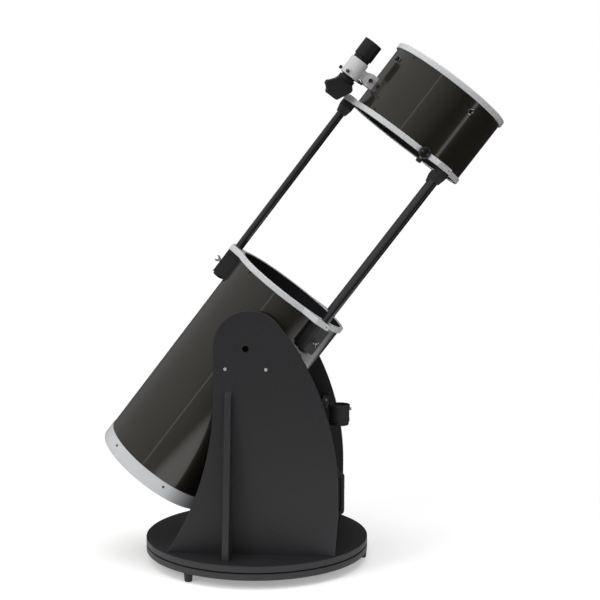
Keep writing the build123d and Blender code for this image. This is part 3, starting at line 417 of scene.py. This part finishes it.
# ---------------------------------------------------------------- shapes
class Shape:
    """Mesh parts gathered into one piece, each part with its own finish."""

    def __init__(self):
        self.mesh = bmesh.new()
        self.finishes = []

    def take(self, part, place, finish):
        if finish not in self.finishes:
            self.finishes.append(finish)
        bmesh.ops.recalc_face_normals(part, faces=part.faces)
        part.transform(place)
        for face in part.faces:
            face.material_index = self.finishes.index(finish)
        held = bpy.data.meshes.new("part")
        part.to_mesh(held)
        part.free()
        self.mesh.from_mesh(held)
        bpy.data.meshes.remove(held)

    def turned(self, place, outline, finish, segments=64, teeth=0):
        """Revolve (radius, height) points in mm; a third number is how deep the knurl cuts there."""
        part = bmesh.new()
        count = teeth * 4 if teeth else segments
        rows = []
        for point in outline:
            radius, height = point[0], point[1]
            depth = point[2] if len(point) > 2 else 0.0
            if radius == 0:
                rows.append([part.verts.new((0, 0, height * MM))])
                continue
            row = []
            for index in range(count):
                turn = 2 * math.pi * index / count
                reach = (radius - depth * (0.5 - 0.5 * math.cos(teeth * turn))) * MM
                row.append(part.verts.new((reach * math.cos(turn), reach * math.sin(turn), height * MM)))
            rows.append(row)
        for low, high in zip(rows, rows[1:]):
            for index in range(count):
                after = (index + 1) % count
                quad = [low[index % len(low)], low[after % len(low)],
                        high[after % len(high)], high[index % len(high)]]
                part.faces.new(list(dict.fromkeys(quad)))
        self.take(part, place, finish)

    def prism(self, place, outline, low, high, finish, bevel=0.0):
        """Extrude an outline, in mm, with its rims bevelled."""
        part = bmesh.new()
        base = part.faces.new([part.verts.new((x * MM, y * MM, low * MM)) for x, y in outline])
        bmesh.ops.recalc_face_normals(part, faces=[base])
        grown = bmesh.ops.extrude_face_region(part, geom=[base])
        moved = [item for item in grown["geom"] if isinstance(item, bmesh.types.BMVert)]
        bmesh.ops.translate(part, vec=(0, 0, (high - low) * MM), verts=moved)
        if bevel:
            bmesh.ops.recalc_face_normals(part, faces=part.faces)
            rims = [e for e in part.edges if abs(e.verts[0].co.z - e.verts[1].co.z) < 1e-7]
            bmesh.ops.bevel(part, geom=rims, offset=bevel * MM, segments=2, profile=0.5, affect="EDGES")
        self.take(part, place, finish)

    def coil(self, place, radius, wire, low, high, turns, finish):
        """A closed-ended spring about z, its wire swept along a helix."""
        part = bmesh.new()
        steps, sides = int(turns * 20), 10
        rings = []
        for step in range(steps + 1):
            share = step / steps
            turn = 2 * math.pi * turns * share
            rise = low + (high - low) * (share - 0.045 * math.sin(2 * math.pi * share))
            spoke = Vector((math.cos(turn), math.sin(turn), 0))
            centre = spoke * radius * MM + Vector((0, 0, rise * MM))
            rings.append([
                part.verts.new(centre + (spoke * math.cos(a) + Vector((0, 0, 1)) * math.sin(a)) * wire * MM)
                for a in (2 * math.pi * side / sides for side in range(sides))
            ])
        for low_ring, high_ring in zip(rings, rings[1:]):
            for side in range(sides):
                after = (side + 1) % sides
                part.faces.new([low_ring[side], low_ring[after], high_ring[after], high_ring[side]])
        part.faces.new(rings[0])
        part.faces.new(rings[-1])
        self.take(part, place, finish)

    def piece(self, name, body, slot=None, replaces=(), sharp=35):
        mesh = bpy.data.meshes.new(name)
        self.mesh.to_mesh(mesh)
        self.mesh.free()
        for finish in self.finishes:
            mesh.materials.append(finish)
        mesh.shade_smooth()
        mesh.set_sharp_from_angle(angle=math.radians(sharp))
        item = bpy.data.objects.new(name, mesh)
        scene.collection.objects.link(item)
        if replaces:
            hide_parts(*replaces)
        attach(item, body)
        return item


def cut(item, cutter):
    """Take one piece's volume out of another, and drop the cutter."""
    change = item.modifiers.new("cut", "BOOLEAN")
    change.operation = "DIFFERENCE"
    change.solver = "EXACT"
    change.object = cutter
    graph = bpy.context.evaluated_depsgraph_get()
    mesh = bpy.data.meshes.new_from_object(item.evaluated_get(graph))
    item.modifiers.clear()
    item.data = mesh
    bpy.data.objects.remove(cutter)


# ---------------------------------------------------------------- tube shells
WALL = 1.5
SOFT = 0.3              # taken off the rims' corners
SHELL_SEGMENTS = 256
FOCUS_HOLE_R = 31


def shell(node, body):
    """The node's thin tube as a smooth shell: gloss enamel outside, matt black within."""
    low, high = span(node, ALT_POINT, TUBE_AXIS)
    outer = girth(node, ALT_POINT, TUBE_AXIS) / MM
    inner = outer - WALL
    low, high = low / MM, high / MM
    place = standing(ALT_POINT, TUBE_AXIS, TUBE_UP)
    tube = Shape()
    tube.turned(place, [(inner + SOFT, low), (outer - SOFT, low), (outer, low + SOFT), (outer, high - SOFT),
                        (outer - SOFT, high), (inner + SOFT, high)], MATERIALS["tube_enamel"], SHELL_SEGMENTS)
    tube.turned(place, [(inner + SOFT, high), (inner, high - SOFT), (inner, low + SOFT), (inner + SOFT, low)],
                MATT_BLACK, SHELL_SEGMENTS)
    bmesh.ops.remove_doubles(tube.mesh, verts=tube.mesh.verts, dist=1e-6)
    bmesh.ops.recalc_face_normals(tube.mesh, faces=tube.mesh.faces)
    return tube.piece(node + "_shell", body, "tube_enamel", [node])


shell("main_tube", "tube")
cage_shell = shell("cage_tube", "cage")
focus_low, focus_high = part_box("focuser_drawtube")
focus_ray = Vector(JOINTS["focus_travel"]["axis"])
drawtube_centre = (focus_low + focus_high) / 2
bore = Shape()
bore.turned(standing(drawtube_centre, focus_ray),
            [(0, -80), (FOCUS_HOLE_R, -80), (FOCUS_HOLE_R, 60), (0, 60)], MATT_BLACK, 96)
cut(cage_shell, bore.piece("focuser_bore", "cage"))

# ---------------------------------------------------------------- wing screws on the strut clamps
WING = [(-2, 0), (2, 0), (4.2, 1.5), (6.5, 4), (8.6, 8), (9.4, 12), (8.8, 14.6), (7.2, 15.6), (5.4, 14.8),
        (4, 12), (3.3, 9.5), (0, 8.5), (-3.3, 9.5), (-4, 12), (-5.4, 14.8), (-7.2, 15.6), (-8.8, 14.6),
        (-9.4, 12), (-8.6, 8), (-6.5, 4), (-4.2, 1.5)]
for name in ("top", "right", "left"):
    joint = JOINTS[f"strut_lock_{name}_turn"]
    ray = Vector(joint["axis"])
    seat = Vector(joint["pos_m"])
    screw = Shape()
    up = standing(seat, ray, TUBE_AXIS)
    screw.turned(up, [(0, -6), (2.4, -6), (2.4, 0.6), (5, 0.6), (5.4, 1.1), (5.2, 2), (4.1, 2.4), (3.9, 5.5),
                      (3.5, 8), (2.4, 9), (0, 9.3)], MATERIALS["bright_chrome"], 48)
    thread = [(2.5 + 0.35 * (step % 2), -6 + 0.5 * step) for step in range(14)]
    screw.turned(up, [(0, -6), *thread, (0, 0.8)], MATERIALS["zinc_steel"], 32)
    flat = up @ Matrix.Translation((0, 0, 1.6 * MM)) @ Matrix.Rotation(math.radians(90), 4, "X")
    screw.prism(flat, WING, -1.5, 1.5, MATERIALS["bright_chrome"], 0.7)
    screw.piece(f"wing_screw_{name}", f"strut_lock_{name}", "bright_chrome", [f"strut_lock_{name}"])

# ---------------------------------------------------------------- cross-head screws
ARM, HALF = 2.6, 0.45
CROSS = [(ARM, HALF), (HALF, HALF), (HALF, ARM), (-HALF, ARM), (-HALF, HALF), (-ARM, HALF),
         (-ARM, -HALF), (-HALF, -HALF), (-HALF, -ARM), (HALF, -ARM), (HALF, -HALF), (ARM, -HALF)]


def cross_heads(node, body, slot):
    heads, cutters = Shape(), Shape()
    for points in islands(node):
        low = Vector(min(p[i] for p in points) for i in range(3))
        high = Vector(max(p[i] for p in points) for i in range(3))
        size = high - low
        middle = (low + high) / 2
        way = max(range(3), key=lambda i: size[i])
        axis = Vector([1.0 if i == way else 0.0 for i in range(3)])
        rim = [p for p in points if (p - middle).cross(axis).length > 4 * MM]
        if (sum(rim, Vector()) / len(rim) - middle).dot(axis) < 0:
            axis = -axis
        top = max((p - middle).dot(axis) for p in points)
        head = middle + axis * (top - 2.9 * MM)
        up = standing(head, axis)
        length = -size[way] / MM + 2.9
        heads.turned(up, [(0, length), (1.2, length + 1.5), (2.3, length + 4), (2.3, 0), (4.6, 0), (4.55, 0.5),
                          (4.1, 1.4), (3.2, 2.2), (1.8, 2.7), (0, 2.85)], SCREW_NICKEL, 40)
        cutters.prism(up @ Matrix.Rotation(math.radians(45), 4, "Z"), CROSS, 1.1, 4, MATT_BLACK)
    screws = heads.piece(node + "_cross_head", body, slot, [node], sharp=28)
    cut(screws, cutters.piece("cross_cutter", body))


cross_heads("panel_screws", "rocker", "zinc_steel")

# ---------------------------------------------------------------- spider screws
for number, points in enumerate(islands("vane_screws")):
    centre = sum(points, Vector()) / len(points)
    station = (centre - ALT_POINT).dot(TUBE_AXIS)
    out = (centre - ALT_POINT - TUBE_AXIS * station).normalized()
    foot = ALT_POINT + TUBE_AXIS * station + out * min((p - ALT_POINT).dot(out) for p in points)
    place = standing(foot, out, TUBE_AXIS)
    screw = Shape()
    screw.turned(place, [(0, 0), (8.5, 0), (8.5, 1.0), (8.1, 1.5), (5, 1.6), (0, 1.6)],
                 MATERIALS["bright_chrome"], 48)
    screw.turned(place, [(0, 1.5), (6.2, 1.5), (6.5, 1.9, 0.5), (6.5, 6.8, 0.5), (6.0, 7.6), (4.4, 8), (0, 8)],
                 DARK_ZINC, teeth=24)
    screw.turned(place, [(0, 8), (2.5, 8), (2.5, 10.4), (2.0, 11), (0, 11)], MATERIALS["zinc_steel"], 32)
    screw.piece(f"spider_screw_{number}", "cage", "bright_chrome", ["vane_screws"])

# ---------------------------------------------------------------- mirror cell springs
COIL_R, WIRE_R, COIL_TURNS = 6.4, 1.2, 4.5

for number in (1, 2, 3):
    spot = Vector(JOINTS[f"collimation_{number}_turn"]["pos_m"])
    spring_low, spring_high = span("collimation_springs", spot, TUBE_AXIS)
    height = (spring_high - spring_low) / MM
    spring = Shape()
    spring.coil(standing(spot + TUBE_AXIS * spring_low, TUBE_AXIS), COIL_R, WIRE_R, WIRE_R,
                height - WIRE_R, COIL_TURNS, MATERIALS["zinc_steel"])
    spring.piece(f"cell_spring_{number}", "tube", "zinc_steel", ["collimation_springs"])


# ---------------------------------------------------------------- knurled thumbscrews
SHANK_R = 2


def frame_slot(node):
    return next(s["material_slot"] for s in frame["record"]["subparts"] if s["node"] == node)


def thumbscrew(node, joint_name, head_low, head_high, head_r, cap=0.0, finish="black_plastic"):
    """A knurled head on a plain shank, along the joint's axis; heights from the node's inner end.

    A screw with a cap shows the bright end of its shank in the middle of the head.
    """
    joint = JOINTS[joint_name]
    axis = Vector(joint["axis"])
    spot = Vector(joint["pos_m"])
    low, high = span(node, spot, axis)
    total = (high - low) / MM
    place = standing(spot + axis * low, axis)
    screw = Shape()
    screw.turned(place, [(0, 0), (SHANK_R - 0.4, 0), (SHANK_R, 0.5), (SHANK_R, head_low + 0.2),
                         (0, head_low + 0.2)], MATERIALS["zinc_steel"], 32)
    screw.turned(place, [(0, head_low), (head_r - 0.8, head_low), (head_r, head_low + 0.8, 0.55),
                         (head_r, head_high - 0.8, 0.55), (head_r - 0.8, head_high), (head_r - 1.6, head_high),
                         (head_r - 2.0, head_high - 0.5), (0, head_high - 0.5)], MATERIALS[finish], teeth=20)
    if cap:
        screw.turned(place, [(0, total - 0.6), (cap, total - 0.6), (cap - 0.3, total), (0, total)],
                     MATERIALS["bright_chrome"], 32)
    screw.piece(node + "_knurled", node, frame_slot(node), [node])


thumbscrew("finder_clamp_screw", "finder_clamp_turn", 8.5, 17.5, 6, 1.8)
thumbscrew("alignment_screw_near", "align_near_turn", 10.5, 17.5, 5, 1.6)
thumbscrew("alignment_screw_far", "align_far_turn", 10.5, 17.5, 5, 1.6)
thumbscrew("holder_screw", "holder_screw_turn", 17, 25.5, 5.5, finish="bright_chrome")

CUP_HEAD = 6
cup_spot = Vector(JOINTS["cup_thumbscrew_turn"]["pos_m"])
cup_axis = Vector((1, 0, 0))
cup_low, cup_high = span("cup_thumbscrew", cup_spot, cup_axis)
cup_reach = (cup_high - cup_low) / MM
thumbscrew("cup_thumbscrew", "cup_thumbscrew_turn", cup_reach - CUP_HEAD, cup_reach,
           girth("cup_thumbscrew", cup_spot, cup_axis) / MM, finish="bright_chrome")

# ---------------------------------------------------------------- latch
latch_low, latch_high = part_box("latch_housing")
latch_centre = (latch_low + latch_high) / 2
station = (latch_centre - ALT_POINT).dot(TUBE_AXIS)
latch_out = (latch_centre - ALT_POINT - TUBE_AXIS * station).normalized()
face_low, face_high = span("latch_housing", ALT_POINT, latch_out)
station_low, station_high = span("latch_housing", ALT_POINT, TUBE_AXIS)
latch_r = (station_high - station_low) / 2 / MM
latch_mid = ALT_POINT + TUBE_AXIS * (station_low + station_high) / 2 + latch_out * face_high
depth = (face_high - face_low) / MM
latch = Shape()
place = standing(latch_mid, latch_out, TUBE_AXIS)
latch.turned(place, [(0, -depth), (latch_r - 1, -depth), (latch_r - 1, -13), (latch_r, -12.5), (latch_r, -4.5),
                     (latch_r - 1.2, -3.3), (latch_r - 2.6, -3), (latch_r - 3.2, -1.9), (latch_r - 4.4, -1.4),
                     (0, -1.6)], GLOSS_BLACK, 72)
for side in (-1, 1):
    dot = place @ Matrix.Translation((0, side * 8 * MM, 0))
    latch.turned(dot, [(0, -1.7), (3, -1.7), (3, -0.7), (2.5, -0.1), (1.1, 0), (0.9, -0.6), (0, -0.6)],
                 MATERIALS["bright_chrome"], 32)
latch.piece("latch_disc", "cage", "black_plastic", ["latch_housing"])

pin_low, pin_high = span("latch_pin", ALT_POINT, TUBE_AXIS)
pin_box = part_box("latch_pin")
pin_centre = (pin_box[0] + pin_box[1]) / 2
pin_foot = pin_centre + TUBE_AXIS * (pin_low - (pin_centre - ALT_POINT).dot(TUBE_AXIS))
place = standing(pin_foot, TUBE_AXIS)
pin = Shape()
pin.turned(place, [(0, 0), (5.4, 0), (7, 0.7, 0.4), (8, 2, 0.7), (8, 10.4, 0.7), (7, 11.8, 0.4), (4, 12), (0, 12)],
           MATERIALS["black_plastic"], teeth=18)
pin.turned(place, [(0, 12), (4.5, 12), (4.5, 15.5), (4, 16), (3, 16.2), (3, 40), (0, 40)],
           MATERIALS["bright_chrome"], 40)
pin.piece("latch_plunger", "latch_pin", "bright_chrome", ["latch_pin"])

# ---------------------------------------------------------------- small fixings
def pan_heads(name, body, station, reach, angles, radius=2.7, height=1.8):
    """Small domed screws that stand out of the tube round a ring, with a round socket sunk in each."""
    screws = Shape()
    for angle in angles:
        place = standing(tube_point(station, angle, reach), radial(angle), TUBE_AXIS)
        screws.turned(place, [(0, -1), (radius, -1), (radius, height * 0.3), (radius * 0.8, height * 0.8),
                              (radius * 0.5, height), (radius * 0.42, height), (radius * 0.38, height * 0.3),
                              (0, height * 0.3)], DARK_ZINC, 24)
    screws.piece(name, body, "zinc_steel")


tube_reach = girth("main_tube", ALT_POINT, TUBE_AXIS)
cage_floor = span("cage_ring_lower", ALT_POINT, TUBE_AXIS)[1]
cage_roof = span("cage_ring_upper", ALT_POINT, TUBE_AXIS)[0]
main_floor = span("main_ring", ALT_POINT, TUBE_AXIS)[0]
rear_low, rear_high = span("rear_ring", ALT_POINT, TUBE_AXIS)
SCREW_ANGLES = [47 + 60 * step for step in range(6)]
pan_heads("cage_lower_fixings", "cage", cage_floor + 6 * MM, tube_reach, SCREW_ANGLES)
pan_heads("cage_upper_fixings", "cage", cage_roof - 6 * MM, tube_reach, SCREW_ANGLES)
pan_heads("main_ring_fixings", "tube", main_floor - 6 * MM, tube_reach, SCREW_ANGLES)
pan_heads("rear_ring_fixings", "tube", rear_high - 14 * MM, girth("rear_ring", ALT_POINT, TUBE_AXIS),
          SCREW_ANGLES, 3.4, 2.0)

# the three screws that tilt the secondary mirror, and the bolt between them, on the hub's front
hub_front = span("spider_hub", ALT_POINT, TUBE_AXIS)[1]
adjusters = Shape()
for turn in (0, 120, 240):
    adjusters.turned(standing(tube_point(hub_front, 30 + turn, 12 * MM), TUBE_AXIS),
                     [(0, -1), (2, -1), (2, 3), (3.6, 3), (4, 3.5, 0.4), (4, 9.5, 0.4), (3.6, 10), (2.6, 10),
                      (2.4, 9.2), (0, 9.2)], MATERIALS["zinc_steel"], teeth=14)
adjusters.turned(standing(tube_point(hub_front), TUBE_AXIS),
                 [(0, -1), (4.6, -1), (4.6, 2.4), (4, 3), (2.6, 3), (2.4, 1.2), (0, 1.2)],
                 MATERIALS["bright_chrome"], 32)
adjusters.piece("secondary_adjusters", "cage", "zinc_steel")

# lock screws beside the collimation knobs
cell_face = rear_low + 2 * MM
locks = Shape()
for angle in (180, 60, -60):
    place = standing(tube_point(cell_face, angle, 143 * MM), -TUBE_AXIS)
    locks.turned(place, [(0, -2), (2.5, -2), (2.5, 1.5), (5, 1.5), (5.4, 2, 0.5), (5.4, 8.5, 0.5),
                         (4.8, 9.2), (0, 9.2)], MATERIALS["zinc_steel"], teeth=16)
locks.piece("cell_lock_screws", "tube", "zinc_steel")

# finder: the plunger's steel barrel and its black tip, and the eyepiece with its rubber grip
finder_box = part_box("finder_tube")
finder_mid = (finder_box[0] + finder_box[1]) / 2
finder_out = (finder_mid - ALT_POINT) - TUBE_AXIS * (finder_mid - ALT_POINT).dot(TUBE_AXIS)
finder_angle = math.degrees(math.atan2(finder_out.dot(TUBE_SIDE), finder_out.dot(TUBE_UP)))
PLUNGER_TURN, PLUNGER_RISE = 197, 6
sleeve_low = span("finder_bracket", finder_mid, TUBE_AXIS)[0]
plunger_ray = radial(finder_angle + PLUNGER_TURN)
plunger_at = standing(finder_mid + TUBE_AXIS * (sleeve_low + PLUNGER_RISE * MM), plunger_ray, TUBE_AXIS)
plunger = Shape()
plunger.turned(plunger_at, [(0, 27), (4.8, 27), (4.8, 39.2), (4.2, 40.2), (0, 40.2)], MATERIALS["zinc_steel"], 40)
plunger.turned(plunger_at, [(0, 40), (3.4, 40), (3.5, 41, 0.3), (3.5, 48.6, 0.3), (3.0, 49.4), (0, 49.4)],
               MATERIALS["black_plastic"], teeth=12)
plunger.piece("finder_plunger", "cage", "zinc_steel")

eye_joint = JOINTS["finder_focus_turn"]
eye_ray = Vector(eye_joint["axis"])
eye_spot = Vector(eye_joint["pos_m"])
eye_low = span("finder_eyepiece", eye_spot, eye_ray)[0]
eye = Shape()
place = standing(eye_spot + eye_ray * eye_low, eye_ray)
eye.turned(place, [(0, 0), (14, 0), (14, 11.6), (14.4, 12)], MATERIALS["black_anodised"], 64)
eye.turned(place, [(14, 12), (16.6, 12.4), (17.2, 13.4, 0.7), (17.5, 16, 0.7), (17.5, 29.4, 0.7),
                   (16.8, 31, 0.4), (16, 32)], MATERIALS["rubber"], teeth=30)
eye.turned(place, [(15.4, 31.4), (16, 33), (16, 39.6), (15, 40.8), (13, 42), (10, 42), (9.2, 41),
                   (9, 36.2), (0, 36.2)], MATERIALS["rubber"], 64)
eye.turned(place, [(0, 36), (8.9, 36), (8.9, 36.6), (5, 37.4), (0, 37.7)], MATERIALS["lens_glass"], 48)
eye.piece("finder_eyepiece_ribbed", "finder_eyepiece", "black_plastic", ["finder_eyepiece"])

# ---------------------------------------------------------------- focus knobs
knob_joint = JOINTS["focus_knob_turn"]
knob_ray = Vector(knob_joint["axis"])
knob_spot = Vector(knob_joint["pos_m"])
knob_low, knob_high = span("focus_knobs", knob_spot, knob_ray)
knob_mid = knob_spot + knob_ray * (knob_low + knob_high) / 2
KNOB_IN, KNOB_DEPTH, KNOB_R = 32.0, 18.0, 20.0
knobs = Shape()
knobs.turned(standing(knob_mid, knob_ray),
             [(0, -KNOB_IN - 2), (3, -KNOB_IN - 2), (3, KNOB_IN + 2), (0, KNOB_IN + 2)],
             MATERIALS["zinc_steel"], 32)
for way in (-1, 1):
    place = standing(knob_mid + knob_ray * way * KNOB_IN * MM, knob_ray * way)
    knobs.turned(place, [(0, 0), (9, 0), (10, 1), (10, 3), (KNOB_R - 1.2, 3), (KNOB_R - 0.4, 3.6)],
                 MATERIALS["black_anodised"], 64)
    knobs.turned(place, [(KNOB_R - 1.4, 3), (KNOB_R - 0.2, 3.8, 0.8), (KNOB_R, 5, 0.8), (KNOB_R, 14.4, 0.8),
                         (KNOB_R - 0.2, 15.4, 0.8), (KNOB_R - 1.6, 16)], MATERIALS["rubber"], teeth=36)
    knobs.turned(place, [(KNOB_R - 1.4, 15.4), (KNOB_R - 1.6, KNOB_DEPTH - 1), (KNOB_R - 2.6, KNOB_DEPTH),
                         (12, KNOB_DEPTH), (11, KNOB_DEPTH - 1.2), (4, KNOB_DEPTH - 1.2), (3.4, KNOB_DEPTH - 0.3),
                         (0, KNOB_DEPTH)], MATERIALS["chrome_tube"], 64)
knobs.piece("focus_knobs_ribbed", "focus_knobs", "black_anodised", ["focus_knobs"])

# ---------------------------------------------------------------- camera
CAMERA_AT = Vector((0.3629, -3.3056, 1.0310))
CAMERA_AIM = Vector((-0.08648, 0.99313, -0.07882))
CAMERA_UP = Vector((-0.00802, 0.07842, 0.99688))
CAMERA_LENS, CAMERA_SHIFT = 69.28, (0.0287, -0.0118)
camera = bpy.data.objects.new("camera", bpy.data.cameras.new("camera"))
scene.collection.objects.link(camera)
camera_right = CAMERA_AIM.cross(CAMERA_UP).normalized()
camera.matrix_world = Matrix((camera_right, camera_right.cross(CAMERA_AIM), -CAMERA_AIM)).transposed().to_4x4()
camera.location = CAMERA_AT
camera.data.lens = CAMERA_LENS
camera.data.sensor_width = 36
camera.data.shift_x, camera.data.shift_y = CAMERA_SHIFT
scene.camera = camera

# ---------------------------------------------------------------- floor and light
FLOOR_SOLID, FLOOR_R = 0.75, 1.5     # the floor fades into the white room between these radii
floor_mesh = bpy.data.meshes.new("floor")
shape = bmesh.new()
bmesh.ops.create_circle(shape, cap_ends=True, segments=96, radius=FLOOR_R)
shape.to_mesh(floor_mesh)
shape.free()
floor = bpy.data.objects.new("floor", floor_mesh)
scene.collection.objects.link(floor)
floor.location = (0, 0, cad_low.z - 0.0005)
material, nodes, shader, place = principled("floor")
nodes.put(shader.inputs["Base Color"],
          nodes.ramp(nodes.noise(place, 2.0), [(0.3, grey(0.84)), (0.7, grey(0.88))]))
shader.inputs["Roughness"].default_value = 0.95
shader.inputs["Specular IOR Level"].default_value = 0.0
shader.inputs["Emission Color"].default_value = grey(1.0)
shader.inputs["Emission Strength"].default_value = 0.3
far = nodes.add("ShaderNodeVectorMath", {0: place}, operation="LENGTH").outputs["Value"]
fade = nodes.add("ShaderNodeMapRange", {
    "Value": far, "From Min": FLOOR_SOLID, "From Max": FLOOR_R, "To Min": 1.0, "To Max": 0.0},
    interpolation_type="SMOOTHSTEP")
nodes.put(shader.inputs["Alpha"], fade.outputs["Result"])
floor_mesh.materials.append(material)

# The room is white where it is seen, and dimmer where it lights the object and is mirrored
# in it: brighter towards BRIGHT_SIDE, darker the other way. Each stripe is a share of the tube's
# width, a strength and a half width.
BRIGHT_SIDE = (-0.62, -0.35, 0.70)
STRIPES = ((0.75, 1.6, 0.10), (0.40, 1.0, 0.035))
world = bpy.data.worlds.new("studio")
scene.world = world
world.use_nodes = True
nodes = Nodes(world.node_tree)
background = world.node_tree.nodes["Background"]
toward = nodes.add("ShaderNodeTexCoord").outputs["Generated"]
room = nodes.add("ShaderNodeMapRange", {
    "Value": nodes.dot(toward, BRIGHT_SIDE), "From Min": -0.2, "From Max": 0.95,
    "To Min": 0.02, "To Max": 0.52})


def mirrored_stripe(share_across, strength, half_width):
    """A bright line of the room that a tube mirrors at a share of its width, all along its length."""
    to_camera = -CAMERA_AIM
    right = TUBE_AXIS.cross(to_camera).normalized()
    front = (to_camera - TUBE_AXIS * to_camera.dot(TUBE_AXIS)).normalized()
    across = 2 * share_across - 1
    normal = right * across + front * math.sqrt(1 - across ** 2)
    source = (2 * normal.dot(to_camera) * normal - to_camera).normalized()
    plane = source.cross(TUBE_AXIS).normalized()
    side = source - TUBE_AXIS * source.dot(TUBE_AXIS)
    off = nodes.dot(toward, plane)
    near = nodes.dot(toward, side)
    band = nodes.add("ShaderNodeMapRange", {
        "Value": nodes.math("ABSOLUTE", off), "From Min": 0.0, "From Max": half_width,
        "To Min": strength, "To Max": 0.0}, interpolation_type="SMOOTHSTEP").outputs["Result"]
    return nodes.math("MULTIPLY", band, nodes.math("GREATER_THAN", near, 0.0))


dimmed = room.outputs["Result"]
for stripe in STRIPES:
    dimmed = nodes.math("ADD", dimmed, mirrored_stripe(*stripe))
seen = nodes.add("ShaderNodeLightPath").outputs["Is Camera Ray"]
nodes.put(background.inputs["Color"], grey(1.0))
level = nodes.add("ShaderNodeMix", {"Factor": seen}, data_type="FLOAT")
nodes.put(level.inputs[2], dimmed)
nodes.put(level.inputs[3], 1.0)
nodes.put(background.inputs["Strength"], level.outputs[0])


def area_light(name, at, aim, size, power, color=(1, 1, 1)):
    """A soft box that lights the object and isn't mirrored in it."""
    light = bpy.data.lights.new(name, "AREA")
    light.shape = "RECTANGLE"
    light.size, light.size_y = size
    light.energy = power
    light.color = color
    item = bpy.data.objects.new(name, light)
    scene.collection.objects.link(item)
    item.location = at
    item.rotation_mode = "QUATERNION"
    item.rotation_quaternion = (Vector(aim) - Vector(at)).to_track_quat("-Z", "Y")
    item.visible_glossy = False


area_light("overhead", (0.2, -0.2, 4.2), (0, 0, 0), (4.5, 4.5), 120)
area_light("key", (-2.6, -2.9, 2.6), (0, 0, 0.7), (1.4, 2.4), 62, (1.0, 0.98, 0.95))
area_light("fill", (2.8, -1.8, 1.6), (0, 0, 0.8), (1.4, 2.0), 26)
